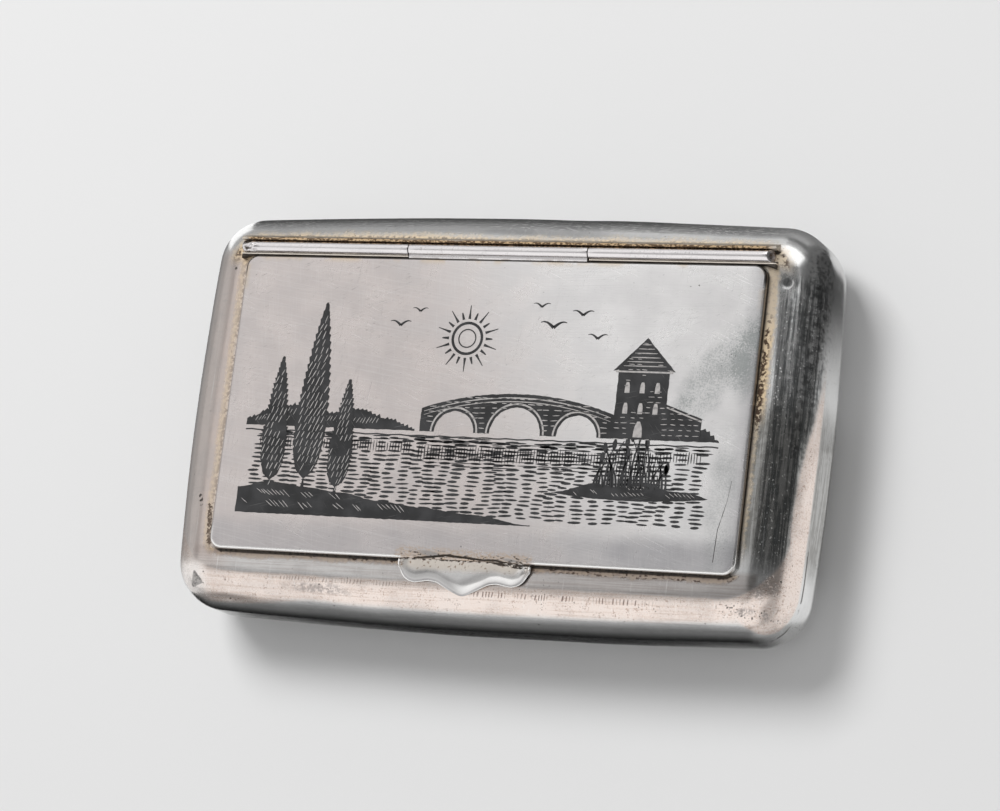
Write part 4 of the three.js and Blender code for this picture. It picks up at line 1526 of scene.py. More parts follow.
    def thumb_edge(self) -> list[Plan]:
        """X and smoothed reach of each section of the thumbpiece."""
        half, steps, shifts = self.thumb_outline[-1][0], self.edge_steps, self.edge_softening
        places = [half * sin(pi / 2 * k / steps) for k in range(-steps, steps + 1)]
        return [(x, sum(self.thumb_reach_at(x + shift) for shift in shifts) / len(shifts)) for x in places]

    def thumbpiece(self) -> Skin:
        """Shaped lip bent over the shoulder."""
        return loft([self.thumb_section(x, reach) for x, reach in self.thumb_edge()], Ends.FLAT)

    def mark_margin(self, mesh: Mesh) -> None:
        """Stores at each point of the thumbpiece how far it is from the free edge, in millimetres."""
        edge = [Vector((x, self.sizes.front - reach)) for x, reach in self.thumb_edge()]
        edge = [Vector((edge[0].x, self.sizes.front)), *edge, Vector((edge[-1].x, self.sizes.front))]
        margins = []
        for vertex in mesh.vertices:
            place, least = Vector(vertex.co.xy) / MM, inf
            for start, stop in zip(edge, edge[1:]):
                way = stop - start
                share = min(max((place - start).dot(way) / max(way.length_squared, 1e-9), 0.0), 1.0)
                least = min(least, (place - start - way * share).length)
            margins.append(least)
        mesh.attributes.new("margin", "FLOAT", "POINT").data.foreach_set("value", margins)

    def build(self, bench: Bench) -> None:
        """Builds and dresses every piece of the lid but its picture."""
        plate = LidSilver(self.sizes).material()
        bright = HingeSilver(self.hinge).material()
        dull = InnerSilver("flange_silver").material()
        bench.add("plate_silver", self.plate(), Body.LID, "lid_silver", plate, "lid_plate", 40.0)
        bench.add("flange_frame", self.flange(), Body.LID, "inner_silver", dull, "lid_flange")
        bench.add(
            "inner_knuckle", self.middle_knuckle(), Body.LID, "hinge_silver", bright, "hinge_knuckle_middle"
        )
        lip = bench.mesh("thumb", self.thumbpiece(), 50.0)
        self.mark_margin(lip)
        bench.place(
            "thumb_lip", lip, Body.LID, "case_silver", ThumbSilver(self.sizes.front).material(),
            ["thumbpiece"]
        )


# The picture


class Metal(Enum):
    """What a line of the picture is made of."""

    NIELLO = "niello"
    SILVER = "silver"


@dataclass(frozen=True)
class Hatching:
    """A field of parallel strokes. Lengths are in millimetres, angles in degrees."""

    name: str
    region: Sequence[Plan]
    metal: Metal
    layer: int
    length: float
    width: float
    column: float
    row: float
    angle: float = 0.0
    drift: float = 0.0
    stray: float = 0.0
    bare: float = 0.0


class StrokeTree:
    """Geometry Nodes tree that fills a flat region with rows of tapered strokes."""

    SIZES = ("Length", "Width", "Column", "Row", "Angle", "Drift", "Stray", "Bare")

    def __init__(self) -> None:
        """Builds the tree with its named inputs."""
        self.tree = bpy.data.node_groups.new("strokes", "GeometryNodeTree")
        self.graph = Graph(self.tree)
        kinds = {"Region": "NodeSocketGeometry", **dict.fromkeys(self.SIZES, "NodeSocketFloat")}
        kinds.update({"Seed": "NodeSocketInt", "Material": "NodeSocketMaterial"})
        for name, kind in kinds.items():
            self.tree.interface.new_socket(name, in_out="INPUT", socket_type=kind)
        self.tree.interface.new_socket("Strokes", in_out="OUTPUT", socket_type="NodeSocketGeometry")
        given = self.graph.make("NodeGroupInput")
        self.given = {name: Signal(self.graph, given.outputs[name]) for name in kinds}
        self.link()

    def vector(self, x: Any, y: Any, z: Any) -> Signal:
        """Vector from three numbers or signals."""
        return self.graph.node("ShaderNodeCombineXYZ", inputs={0: x, 1: y, 2: z})

    def chance(self, low: float, high: float, shift: float) -> Signal:
        """Random number for each stroke."""
        inputs = {2: low, 3: high, "Seed": self.given["Seed"] + shift}
        return self.graph.node("FunctionNodeRandomValue", {"data_type": "FLOAT"}, inputs, 1)

    def waves(self, place: Signal, size: float) -> Signal:
        """Smooth noise about 0.5 with features of a size in millimetres."""
        moved = self.graph.vectors("ADD", place, self.vector(0.0, 0.0, self.given["Seed"] * 0.37))
        return self.graph.node(
            "ShaderNodeTexNoise", inputs={"Vector": moved, "Scale": 1.0 / (size * MM), "Detail": 1.0}
        )

    def over(self, place: Signal) -> Signal:
        """1 where a place lies over the region."""
        above = self.graph.vectors("ADD", place, (0.0, 0.0, 0.002))
        ray = {"Source Position": above, "Ray Direction": (0.0, 0.0, -1.0), "Ray Length": 0.01}
        return self.graph.node("GeometryNodeRaycast", inputs={"Target Geometry": self.given["Region"], **ray})

    def points(self) -> Signal:
        """Grid over the region, its columns shifted, its bare places left out."""
        g, given = self.graph, self.given
        box = g.make("GeometryNodeBoundBox", inputs={"Geometry": given["Region"]})
        low, high = Signal(g, box.outputs["Min"]), Signal(g, box.outputs["Max"])
        width, height, _ = g.split(g.vectors("SUBTRACT", high, low))
        counts = {"Vertices X": width / given["Column"] + 1.0, "Vertices Y": height / given["Row"] + 1.0}
        grid = g.node("GeometryNodeMeshGrid", inputs={"Size X": width, "Size Y": height, **counts})
        middle = g.node("ShaderNodeMix", {"data_type": "VECTOR"}, {0: 0.5, 4: low, 5: high}, 1)
        grid = g.node("GeometryNodeTransform", inputs={"Geometry": grid, "Translation": middle})
        place = g.node("GeometryNodeInputPosition")
        x, y, _ = g.split(place)
        sway = self.waves(self.vector(x, y * 0.12, 0.0), 2.2).swing(given["Drift"]) * 2.0
        slide = (
            self.waves(place, 3.5).swing(given["Column"]) * 1.6
            + self.chance(-0.12, 0.12, 1.0) * given["Column"]
        )
        grid = g.node(
            "GeometryNodeSetPosition", inputs={"Geometry": grid, "Offset": self.vector(slide, sway, 0.0)}
        )
        inside = self.over(place)
        for way in (-0.55, 0.55):
            reach = given["Length"] * way
            end = self.vector(
                g.math("COSINE", given["Angle"]) * reach, g.math("SINE", given["Angle"]) * reach, 0.0
            )
            inside = inside * self.over(g.vectors("ADD", place, end))
        kept = g.math("GREATER_THAN", self.waves(place, 3.0), given["Bare"])
        lost = {"Geometry": grid, "Selection": 1.0 - inside * kept}
        return g.node("GeometryNodeDeleteGeometry", {"domain": "POINT"}, lost)

    def link(self) -> None:
        """Puts a stroke on each point and ends the tree."""
        g, given = self.graph, self.given
        disc = g.node("GeometryNodeMeshCircle", {"fill_type": "NGON"}, {"Vertices": 8, "Radius": 0.5})
        shape = self.vector(given["Length"], given["Width"], 1.0)
        stroke = g.node("GeometryNodeTransform", inputs={"Geometry": disc, "Scale": shape})
        turn = self.vector(0.0, 0.0, given["Angle"] + given["Stray"] * self.chance(-1.0, 1.0, 3.0))
        scale = self.vector(self.chance(0.65, 1.15, 5.0), self.chance(0.75, 1.25, 7.0), 1.0)
        copies = {"Points": self.points(), "Instance": stroke, "Rotation": turn, "Scale": scale}
        strokes = g.node("GeometryNodeInstanceOnPoints", inputs=copies)
        real = g.node("GeometryNodeRealizeInstances", inputs={"Geometry": strokes})
        dressed = g.node("GeometryNodeSetMaterial", inputs={"Geometry": real, "Material": given["Material"]})
        g.make("NodeGroupOutput", inputs={"Strokes": dressed})

    def mesh(
        self, hatching: Hatching, height: float, seed: int, material: Material
    ) -> Mesh:
        """Plain mesh of a field of strokes.

        Args:
            hatching: what to draw.
            height: Z of the strokes, in millimetres.
            seed: seed of its random values.
            material: material of the strokes.

        Returns:
            The mesh, facing upwards, with its material.
        """
        flat = bpy.data.meshes.new(hatching.name)
        corners = [(x * MM, y * MM, height * MM) for x, y in hatching.region]
        flat.from_pydata(corners, [], [tuple(range(len(corners)))])
        flat.update()
        carrier = add_object(hatching.name, flat)
        modifier = carrier.modifiers.new("strokes", "NODES")
        modifier.node_group = self.tree
        lengths = (hatching.length, hatching.width, hatching.column, hatching.row)
        values: dict[str, Any] = dict(zip(self.SIZES, (value * MM for value in lengths)))
        values.update({"Angle": radians(hatching.angle), "Drift": hatching.drift * MM, "Bare": hatching.bare})
        values.update({"Stray": radians(hatching.stray), "Seed": seed, "Material": material})
        for item in self.tree.interface.items_tree:
            if item.in_out == "INPUT" and item.name in values:
                modifier[item.identifier] = values[item.name]
        depsgraph = bpy.context.evaluated_depsgraph_get()
        mesh = bpy.data.meshes.new_from_object(carrier.evaluated_get(depsgraph), depsgraph=depsgraph)
        carrier.modifiers.remove(modifier)
        bpy.data.objects.remove(carrier)
        if mesh.polygons and mesh.polygons[0].normal.z < 0:
            mesh.flip_normals()
        mesh.name = hatching.name
        return mesh


@dataclass
class Picture:
    """Niello river landscape on the lid: cypresses, an arched bridge, a tower, a low sun and reeds."""

    lid: LidSizes
    waterline: float = -2.5
    left: float = -31.0
    right: float = 30.4
    bottom: float = -13.3
    first_height: float = 0.012
    layer_step: float = 0.010
    sink: float = 0.04
    bridge_middle: float = 4.6
    bridge_half: float = 12.4
    arches: tuple[tuple[float, float], ...] = ((-3.3, 2.6), (4.6, 3.3), (12.5, 2.6))
    tower_middle: float = 20.2
    tower_half: float = 3.2
    flock: tuple[Point, ...] = (
        (8.0, 10.6, 1.0), (11.6, 12.2, 0.8), (13.8, 9.4, 0.75),
        (6.2, 13.1, 0.65), (-12.0, 10.4, 0.8), (-9.6, 12.2, 0.6),
    )
    ground: float = -13.4
    west: tuple[Plan, ...] = (
        (-31.0, 0.7), (-28.0, 1.9), (-24.0, 2.6), (-20.0, 1.7), (-16.0, 2.3), (-12.5, 1.3), (-8.4, 0.2),
    )
    east: tuple[Plan, ...] = ((21.0, 1.5), (25.6, 1.9), (28.2, 1.4), (30.4, 0.1))
    bank: tuple[Plan, ...] = (
        (-31.0, 3.1), (-27.0, 3.9), (-22.0, 3.4), (-17.0, 2.9),
        (-12.0, 2.1), (-6.0, 1.5), (0.0, 1.0), (8.0, 0.05),
    )

    def height(self, layer: int) -> float:
        """Z of a layer of the picture, in millimetres."""
        return self.lid.top + self.first_height + layer * self.layer_step

    def mass(self, outline: Sequence[Plan], layer: int, rough: float = 0.07) -> Skin:
        """Black area with a hand-cut edge, sunk a little into the plate.

        Args:
            outline: its corners.
            layer: the layer that it lies in.
            rough: how far the edge strays.

        Returns:
            A thin closed slab.
        """
        dense: list[Plan] = []
        for (x0, y0), (x1, y1) in zip(outline, [*outline[1:], outline[0]]):
            steps = max(1, round(hypot(x1 - x0, y1 - y0) / 0.22))
            for k in range(steps):
                x, y = x0 + (x1 - x0) * k / steps, y0 + (y1 - y0) * k / steps
                stray = noise.noise_vector(Vector((x * 1.9, y * 1.9, 3.0)))
                dense.append((x + stray.x * rough, y + stray.y * rough))
        top = self.height(layer)
        return loft([level(dense, top - self.sink), level(dense, top)], Ends.FLAT)

    def stroke(self, points: Sequence[Plan], width: Callable[[float], float], layer: int) -> Skin:
        """Flat ribbon along a path, with its width at each share of the path."""
        left, right, count = [], [], len(points)
        for i, (x, y) in enumerate(points):
            (x0, y0), (x1, y1) = points[max(i - 1, 0)], points[min(i + 1, count - 1)]
            size = hypot(x1 - x0, y1 - y0) or 1.0
            half = width(i / (count - 1)) / 2
            left.append((x - (y1 - y0) / size * half, y + (x1 - x0) / size * half))
            right.append((x + (y1 - y0) / size * half, y - (x1 - x0) / size * half))
        faces: list[tuple[int, ...]] = [(i, i + count, i + count + 1, i + 1) for i in range(count - 1)]
        return Skin(level(left + right, self.height(layer)), faces)

    def line(self, points: Sequence[Plan], width: float, layer: int) -> Skin:
        """Ribbon that thins towards its ends."""
        return self.stroke(points, lambda t: width * (0.35 + 0.65 * sin(pi * t)), layer)

    def slope(self, heights: Sequence[Plan], base: float, foliage: float = 0.0) -> list[Plan]:
        """Outline of a hill or bank.

        Args:
            heights: X and height above the base.
            base: Y of its foot.
            foliage: height of the leafy teeth along its top.

        Returns:
            Its corners, anticlockwise.
        """
        curve: list[Plan] = []
        for (x0, h0), (x1, h1) in zip(heights, heights[1:]):
            steps = max(4, round((x1 - x0) / 0.28))
            for k in range(steps):
                t = k / steps
                x, ease = x0 + (x1 - x0) * t, (1 - cos(pi * t)) / 2
                tooth = foliage * (0.5 + noise.noise(Vector((x * 1.3, 4.0, 0.0)))) if k % 2 else 0.0
                curve.append((x + (0.12 if k % 2 and foliage else 0.0), base + h0 + (h1 - h0) * ease + tooth))
        curve.append((heights[-1][0], base + heights[-1][1]))
        return [*curve[::-1], (heights[0][0], base - 0.05), (heights[-1][0], base - 0.05)]

    def deck(self, drop: float, reach: float = 1.0) -> list[Plan]:
        """Line of the bridge's roadway, from left to right, lowered by a drop."""
        shares, top = (reach * (k / 20 - 1) for k in range(41)), self.waterline + 4.9
        return [(self.bridge_middle + self.bridge_half * t, top - 2.1 * t * t - drop) for t in shares]

    def bridge(self) -> list[Plan]:
        """Outline of the humped bridge with its three arches."""
        base = self.waterline - 0.05
        outline = [*self.deck(0.0)[::-1], (self.bridge_middle - self.bridge_half, base)]
        for centre, radius in self.arches:
            outline += arc((centre, base), radius, (pi * (1 - k / 14) for k in range(15)))
        return [*outline, (self.bridge_middle + self.bridge_half, base)]

    def tower(self) -> list[Plan]:
        """Outline of the tower with a pitched roof and a low wing."""
        base, x, half = self.waterline - 0.05, self.tower_middle, self.tower_half
        wing = [(half + 4.6, 0.0), (half + 4.6, 2.7), (half + 5.0, 2.6), (half, 4.3)]
        roof = [(half, 8.3), (half + 0.7, 8.2), (0.0, 12.2), (-half - 0.7, 8.2)]
        corners = [(-half, 0.0), *wing, *roof, (-half, 8.3)]
        return [(x + right, base + up) for right, up in corners]

    def cypress(self, x: float, foot: float, height: float, width: float, lean: float) -> list[Plan]:
        """Outline of a slender tree: a leafy flame on a short trunk."""
        side, trunk, steps = [], 0.07 * height, 46
        for k in range(steps + 1):
            t = k / steps
            swell = sin(pi * t ** 0.62) ** 0.75 * (1 - 0.25 * t)
            leaf = 0.22 * (k % 2) * min(1.0, 4 * (1 - t)) * min(1.0, 6 * t)
            up = foot + trunk + (height - trunk) * t + 0.25 * (k % 2)
            side.append((width / 2 * swell + leaf + 0.04, up))
        right = [(x + w + lean * (y - foot), y) for w, y in side]
        left = [(x - w + lean * (y - foot), y) for w, y in reversed(side)]
        return [(x + 0.3, foot), *right, *left, (x - 0.3, foot)]

    def islet(self) -> list[Plan]:
        """Outline of the low island in the river."""
        shares = [k / 24 for k in range(24, -25, -1)]
        top = [(20.0 + 9.8 * t, -9.3 + 1.4 * (1 - t * t) * (1 + 0.25 * sin(9 * t))) for t in shares]
        return top + [(20.0 + 9.8 * t, -9.3 - 0.6 * (1 - t * t)) for t in shares[-2:0:-1]]

    def sun(self) -> Skin:
        """Low sun: a ring, with rays of two lengths round it."""
        (x, y), skin = (-3.0, 9.0), Skin()
        ring = [2 * pi * k / 48 for k in range(49)]
        skin.add(self.stroke(arc((x, y), 1.9, ring), lambda t: 0.34, 0))
        skin.add(self.stroke(arc((x, y), 1.1, ring), lambda t: 0.16, 0))
        for k in range(20):
            angle, reach = 2 * pi * k / 20, 4.1 if k % 2 else 3.3
            ray = [(x + r * cos(angle), y + r * sin(angle)) for r in (2.4, 2.8, 3.2, reach)]
            skin.add(self.stroke(ray, lambda t: 0.36 * (1 - 0.75 * t), 0))
        return skin

    @staticmethod
    def taper(width: float, side: int) -> Callable[[float], float]:
        """Width along a wing, which is thick at the body: the path's start if side is 1, else its end."""
        return lambda t: width * (1 - 0.8 * (t if side > 0 else 1 - t))

    def birds(self) -> Skin:
        """Small flying birds, each of two bent strokes."""
        skin, steps = Skin(), 8
        for x, y, size in self.flock:
            for side in (-1, 1):
                shares = [k / steps for k in range(steps + 1)]
                curve = [(1.7 * t, 0.8 * sin(2.0 * t) - 0.1 * t) for t in shares]
                wing = [(x + side * size * out, y + size * up) for out, up in curve]
                skin.add(self.stroke(wing[::side], self.taper(0.42 * size, side), 0))
        return skin

    def reeds(self) -> Skin:
        """Clump of bent reeds with seed heads on the islet."""
        chance, skin = random.Random(11), Skin()
        for k in range(26):
            foot = 15.4 + 0.36 * k + chance.uniform(-0.1, 0.1)
            height = chance.uniform(2.6, 6.6) * (0.7 + 0.4 * sin(pi * k / 25))
            bend = chance.uniform(-1.5, 1.7)
            shares = (i / 12 for i in range(13))
            stem = [(foot + bend * t * t, -8.4 + height * (t - 0.08 * t * t)) for t in shares]
            skin.add(self.stroke(stem, lambda t: 0.30 * (1 - 0.7 * t), 3))
            if k % 3 == 1:
                head = [(stem[-1][0] + bend * 0.03 * i, stem[-1][1] - 0.3 + 0.26 * i) for i in range(6)]
                skin.add(self.line(head, 0.6, 3))
        return skin

    def masses(self) -> dict[str, tuple[int, list[Plan]]]:
        """Layer and outline of each black area."""
        return {
            "west_hills": (0, self.slope(self.west, self.waterline, 0.45)),
            "east_hills": (0, self.slope(self.east, self.waterline, 0.40)),
            "bridge": (2, self.bridge()),
            "tower": (4, self.tower()),
            "islet": (2, self.islet()),
            "near_bank": (2, self.slope(self.bank, self.ground)),
            "tall_cypress": (4, self.cypress(-22.4, -10.6, 23.6, 4.1, 0.012)),
            "middle_cypress": (4, self.cypress(-26.9, -10.5, 16.6, 3.2, -0.012)),
            "low_cypress": (4, self.cypress(-18.0, -10.9, 14.4, 3.0, 0.02)),
        }

    def cuts(self) -> Skin:
        """Bright lines cut through the black: parapet, arch rings, windows and roof."""
        skin, base, x, half = Skin(), self.waterline, self.tower_middle, self.tower_half
        skin.add(self.line(self.deck(0.50, 0.97), 0.16, 3)).add(self.line(self.deck(0.95, 0.97), 0.12, 3))
        for centre, radius in self.arches:
            ring = arc((centre, base), radius + 0.38, (pi * k / 20 for k in range(21)))
            skin.add(self.stroke(ring, lambda t: 0.22, 3))
        for k in range(6):
            drop = 0.75 + 0.52 * k
            reach = 0.8 * drop
            skin.add(self.line([(x - reach + reach * i / 4, base + 12.1 - drop) for i in range(9)], 0.13, 5))
        eaves = [(x - half - 0.4, base + 8.05), (x + half + 0.4, base + 8.05)]
        gutter = [(x + half + 0.1, base + 3.9), (x + half + 4.6, base + 2.35)]
        skin.add(self.stroke(eaves, lambda t: 0.20, 5))
        for column in (-1.9, 0.0, 1.9):
            for sill in (3.0, 5.5):
                pane = [(x + column, base + sill + 1.3 * i / 4) for i in range(5)]
                skin.add(self.stroke(pane, lambda t: 0.62 * (1 - 0.5 * t ** 4), 5))
        door = [(x, base + 0.2 + 1.9 * i / 6) for i in range(7)]
        skin.add(self.stroke(door, lambda t: 1.1 * (1 - 0.7 * t ** 3), 5))
        return skin.add(self.stroke(gutter, lambda t: 0.18, 5))

    def hatchings(self, masses: dict[str, tuple[int, list[Plan]]]) -> list[Hatching]:
        """Every field of strokes, black on silver and silver on black."""
        def block(x0: float, x1: float, y0: float, y1: float) -> list[Plan]:
            """Rectangle."""
            return [(x0, y0), (x1, y0), (x1, y1), (x0, y1)]

        shore = self.waterline
        bridge = (self.bridge_middle - self.bridge_half, self.bridge_middle + self.bridge_half)
        dark, west = (shore - 3.2, shore - 0.9), (self.left + 2.2, bridge[0] - 1.0)
        tower = (self.tower_middle - self.tower_half, self.tower_middle + self.tower_half)
        banks = (self.left, self.right)
        water = block(self.left + 0.6, self.right - 0.6, self.bottom + 0.5, shore - 0.9)
        fields = {
            "water": (water, 1.75, 0.30, 1.75, 0.50, 0.0, 0.9, 4.0, 0.22),
            "shore_lines": (block(*banks, shore - 1.5, shore - 0.75), 2.4, 0.2, 2.2, 0.36, 0.0, 0.2, 1.0),
            "bridge_mirror": (block(*bridge, shore - 4.2, shore - 1.0), 1.9, 0.14, 0.36, 1.3, 90.0, 0.2, 2.0),
            "bridge_ripple": (block(*bridge, shore - 4.2, shore - 0.9), 2.6, 0.15, 2.0, 0.40, 0.0, 0.1, 1.0),
            "tower_mirror": (block(*tower, shore - 6.3, shore - 1.0), 1.9, 0.15, 0.36, 1.2, 90.0, 0.2, 2.0),
            "tower_ripple": (block(*tower, shore - 6.3, shore - 0.9), 2.4, 0.15, 1.8, 0.44, 0.0, 0.1, 1.0),
            "hill_mirror": (block(*west, *dark), 1.5, 0.13, 0.36, 0.9, 90.0, 0.3, 2.0),
            "east_mirror": (block(tower[1], self.right - 2.0, *dark), 1.5, 0.13, 0.36, 0.9, 90.0, 0.3, 2.0),
        }
        cuts = {
            "near_bank": (1.3, 0.075, 0.55, 1.0, -38.0, 0.5),
            "islet": (0.8, 0.07, 0.5, 0.6, -38.0, 0.45),
            "west_hills": (0.9, 0.07, 0.42, 0.9, 62.0, 0.42),
            "east_hills": (0.8, 0.07, 0.42, 0.9, 62.0, 0.42),
            "bridge": (0.95, 0.10, 1.15, 0.58, 0.0, 0.36),
            "tower": (0.75, 0.09, 0.95, 0.62, 0.0, 0.45),
            "tall_cypress": (1.2, 0.09, 0.55, 0.95, 68.0, 0.36),
            "middle_cypress": (1.1, 0.09, 0.55, 0.95, 70.0, 0.36),
            "low_cypress": (1.0, 0.08, 0.52, 0.9, 70.0, 0.38),
        }
        strokes = [Hatching(name, area, Metal.NIELLO, 0, *sizes) for name, (area, *sizes) in fields.items()]
        for name, (*sizes, bare) in cuts.items():
            layer, outline = masses[name]
            drift = 0.1 if name in ("bridge", "tower") else 0.5
            sizes = [layer + 1, *sizes, drift, 6.0, bare]
            strokes.append(Hatching(f"{name}_cuts", outline, Metal.SILVER, *sizes))
        return strokes

    def build(self, bench: Bench) -> None:
        """Lays the whole picture into the plate."""
        metals = {Metal.NIELLO: Niello().material(), Metal.SILVER: Engraved().material()}
        masses, tree = self.masses(), StrokeTree()
        for name, (layer, outline) in masses.items():
            piece = bench.mesh(name, self.mass(outline, layer))
            bench.place(f"niello_{name}", piece, Body.LID, "lid_silver", metals[Metal.NIELLO])
        span = self.right - self.left
        shore = [(self.left + span * k / 80, self.waterline - 0.62 + 0.05 * sin(1.7 * k)) for k in range(81)]
        drawn = self.stroke(shore, lambda t: 0.17, 0).add(self.sun()).add(self.birds()).add(self.reeds())
        lines = (("niello_lines", drawn, Metal.NIELLO), ("engraved_lines", self.cuts(), Metal.SILVER))
        for name, skin, metal in lines:
            bench.place(name, bench.mesh(name, skin, flat=True), Body.LID, "lid_silver", metals[metal])
        for seed, hatching in enumerate(self.hatchings(masses)):
            mesh = tree.mesh(hatching, self.height(hatching.layer), seed + 3, metals[hatching.metal])
            bench.place(f"strokes_{hatching.name}", mesh, Body.LID, "lid_silver")


# Studio


@dataclass(frozen=True)
class PhotoView:
    """Where the photograph was taken from, in degrees and millimetres."""

    azimuth: float = 64.21
    elevation: float = 63.75
    roll: float = -59.59
    distance: float = 451.6
    aim: Point = (2.32, 0.93, 15.95)
    focal_length: float = 136.8
    sensor: float = 36.0

    def build(self) -> None:
        """Makes the camera."""
        azimuth, elevation, roll = (radians(a) for a in (self.azimuth, self.elevation, self.roll))
        look = Vector((-sin(azimuth) * cos(elevation), cos(azimuth) * cos(elevation), -sin(elevation)))
        level_right = look.cross(Vector((0.0, 0.0, 1.0))).normalized()
        level_up = level_right.cross(look)
        right = level_right * cos(roll) + level_up * sin(roll)
        up = level_up * cos(roll) - level_right * sin(roll)
        data = bpy.data.cameras.new("camera")
        data.lens, data.sensor_width, data.sensor_fit = self.focal_length, self.sensor, "HORIZONTAL"
        data.clip_start, data.clip_end = 0.01, 50.0
        camera = add_object("camera", data)
        place = (Vector(self.aim) - look * self.distance) * MM
        for row in range(3):
            camera.matrix_world[row][:] = (right[row], up[row], -look[row], place[row])
        bpy.context.scene.camera = camera


@dataclass(frozen=True)
class Panel:
    """Flat screen that only mirror-like surfaces see. Angles are in degrees, the distance in metres."""

    name: str
    azimuth: float
    elevation: float
    half_width: float
    half_height: float
    light: float
    distance: float = 0.8

    def corners(self) -> list[Point]:
        """Its corners, facing the box."""
        azimuth, elevation = radians(self.azimuth), radians(self.elevation)
        out = Vector((cos(azimuth) * cos(elevation), sin(azimuth) * cos(elevation), sin(elevation)))
        side = Vector((-sin(azimuth), cos(azimuth), 0.0))
        up = out.cross(side)
        wide, high = (self.distance * tan(radians(a)) for a in (self.half_width, self.half_height))
        ways = ((-1, -1), (-1, 1), (1, 1), (1, -1))
        return [tuple(out * self.distance + side * wide * i + up * high * j) for i, j in ways]


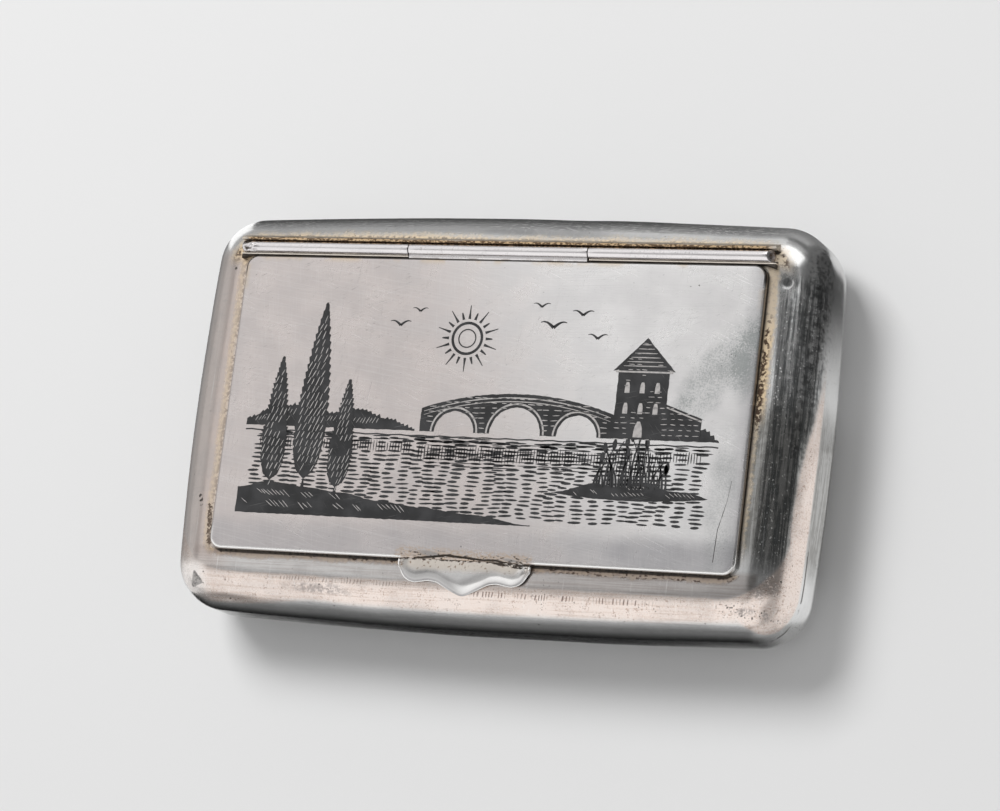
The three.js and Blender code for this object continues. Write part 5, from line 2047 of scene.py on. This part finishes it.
@dataclass(frozen=True)
class Studio:
    """Pale floor, soft light, and screens whose reflections shape the silver."""

    floor_colour: Colour = (0.80, 0.80, 0.80)
    floor_side: float = 4.0
    world_strength: float = 0.45
    lamp_size: float = 0.4
    lamp_power: float = 6.5
    lamp_place: Point = (-0.30, 0.45, 0.84)
    screen_lift: float = 0.0003
    panels: tuple[Panel, ...] = (
        Panel("back_screen", 133.0, 48.0, 33.0, 23.0, 0.93, 1.0),
        Panel("corner_screen", 69.0, 44.0, 24.0, 16.0, 1.7, 0.5),
        Panel("front_screen", -115.0, 36.0, 46.0, 28.0, 1.0),
        Panel("left_screen", 169.0, 24.0, 15.0, 20.0, 0.60),
        Panel("low_screen", 62.0, 5.0, 34.0, 8.0, 0.16, 0.9),
        Panel("left_corner_screen", -167.0, 20.0, 9.0, 22.0, 0.95),
        Panel("right_corner_screen", -38.0, 56.0, 26.0, 17.0, 0.95, 0.7),
        Panel("right_screen", 24.0, 44.0, 29.0, 52.0, 0.14, 0.6),
    )

    def build(self) -> None:
        """Makes floor, world, lamp and screens."""
        self.floor()
        self.world()
        self.lamp()
        for panel in self.panels:
            self.screen(panel.name, panel.corners(), lambda g, light=panel.light: light)
        for name, (corners, light) in self.shades().items():
            self.screen(name, corners, light)

    def shades(self) -> dict[str, tuple[list[Point], Callable[[SurfaceGraph], Any]]]:
        """Corners in metres and strength of the screens on the floor and close to the box."""
        z = self.screen_lift
        return {
            "front_shade": (
                [(-0.050, -0.026, z), (-0.9, -1.0, z), (0.25, -1.0, z), (0.043, -0.026, z)],
                lambda g: 0.01 + g.step(-g.y, 27.0, 48.0) * 0.15 + g.step(-g.y, 40.0, 150.0) * 0.18
                + g.step(g.x, 31.0, 43.0) * 0.45,
            ),
            "right_shade": (
                [(0.0415, 0.0, z), (0.0415, 0.030, z), (0.6, 0.5, z), (0.6, 0.0, z)],
                lambda g: 0.08 + g.fall(g.y, 5.0, 20.0) * 0.62,
            ),
            "back_shade": (
                [(-0.040, 0.026, z), (0.040, 0.026, z), (0.5, 1.0, z), (-0.7, 1.0, z)],
                lambda g: 0.07 + g.step(g.y, 28.0, 80.0) * 0.22 + g.step(g.x, 5.0, 40.0) * 0.15,
            ),
            "corner_shade": (
                [(0.0415, 0.030, z), (0.6, 0.5, z), (0.5, 1.0, z), (0.040, 0.0265, z)],
                lambda g: 0.16,
            ),
            "left_shade": (
                [(-0.0415, -0.024, z), (-0.0415, 0.024, z), (-1.0, 0.4, z), (-1.0, -0.3, z)],
                lambda g: 0.22 + g.step(-g.x, 44.0, 80.0) * 0.22 + g.fall(g.y, -24.0, -13.0) * 0.5,
            ),
            "corner_glow": (
                [(-0.041, 0.0245, z), (-0.040, 0.0262, z), (-0.7, 1.0, z), (-1.0, 0.4, z)],
                lambda g: 1.3,
            ),
            "right_strip": (
                [(0.155, -0.075, z), (0.155, 0.018, z), (0.155, 0.018, 0.034), (0.155, -0.075, 0.040)],
                lambda g: 0.80,
            ),
            "right_glow": (
                [(0.0415, -0.030, z), (0.0415, 0.0, z), (0.154, 0.0, z), (0.154, -0.12, z)],
                lambda g: 0.88,
            ),
            "rear_glow": (
                [(-0.045, 0.12, 0.026), (0.03, 0.12, 0.026), (0.03, 0.12, 0.075), (-0.045, 0.12, 0.075)],
                lambda g: 0.30 + g.step(g.x, -44.0, -16.0) * 0.50,
            ),
        }

    def floor(self) -> None:
        """Large plain floor under the box."""
        mesh = bpy.data.meshes.new("floor")
        side = self.floor_side
        corners = [(-side, -side, 0), (side, -side, 0), (side, side, 0), (-side, side, 0)]
        mesh.from_pydata(corners, [], [(0, 1, 2, 3)])
        g = SurfaceGraph("floor")
        surface = g.make("ShaderNodeBsdfDiffuse", inputs={"Color": (*self.floor_colour, 1.0)})
        g.node_output(Signal(g, surface.outputs[0]))
        mesh.materials.append(g.material)
        floor = add_object("floor", mesh)

    def world(self) -> None:
        """Even pale light from all round."""
        world = bpy.data.worlds.new("studio")
        bpy.context.scene.world = world
        world.use_nodes = True
        world.node_tree.nodes.clear()
        g = Graph(world.node_tree)
        inputs = {"Color": WHITE, "Strength": self.world_strength}
        light = g.node("ShaderNodeBackground", inputs=inputs)
        g.make("ShaderNodeOutputWorld", inputs={"Surface": light})

    def lamp(self) -> None:
        """Soft square lamp from behind and above, which the silver doesn't mirror."""
        data = bpy.data.lights.new("soft_lamp", "AREA")
        data.size, data.energy = self.lamp_size, self.lamp_power
        lamp = add_object("soft_lamp", data)
        lamp.location = self.lamp_place
        lamp.rotation_euler = lamp.location.to_track_quat("Z", "Y").to_euler()
        lamp.visible_glossy = False

    def screen(self, name: str, corners: Sequence[Point], light: Callable[[SurfaceGraph], Any]) -> None:
        """Evenly or softly graded screen that shows only in reflections.

        Args:
            name: the screen's name.
            corners: its four corners, in metres.
            light: its strength, from its material's graph.
        """
        mesh = bpy.data.meshes.new(name)
        mesh.from_pydata(list(corners), [], [(0, 1, 2, 3)])
        g = SurfaceGraph(name)
        g.node_output(g.node("ShaderNodeEmission", inputs={"Color": WHITE, "Strength": light(g)}))
        mesh.materials.append(g.material)
        screen = add_object(name, mesh)
        screen.visible_camera = screen.visible_shadow = screen.visible_diffuse = False


def main() -> None:
    """Builds the box, its picture and the studio."""
    logging.basicConfig(level=logging.INFO, format="%(name)s: %(message)s")
    noise.seed_set(NOISE_SEED)
    bpy.context.scene.view_settings.view_transform = "Standard"
    PhotoView().build()
    Studio().build()
    case, lid, hinge = CaseSizes.from_frame(), LidSizes.from_frame(), HingeSizes.from_frame()
    bench = Bench()
    Case(case, lid, hinge).build(bench)
    Lid(lid, case, hinge).build(bench)
    Picture(lid).build(bench)
    LOG.info("%d pieces", len(bench.pieces))


if __name__ == "__main__":
    main()
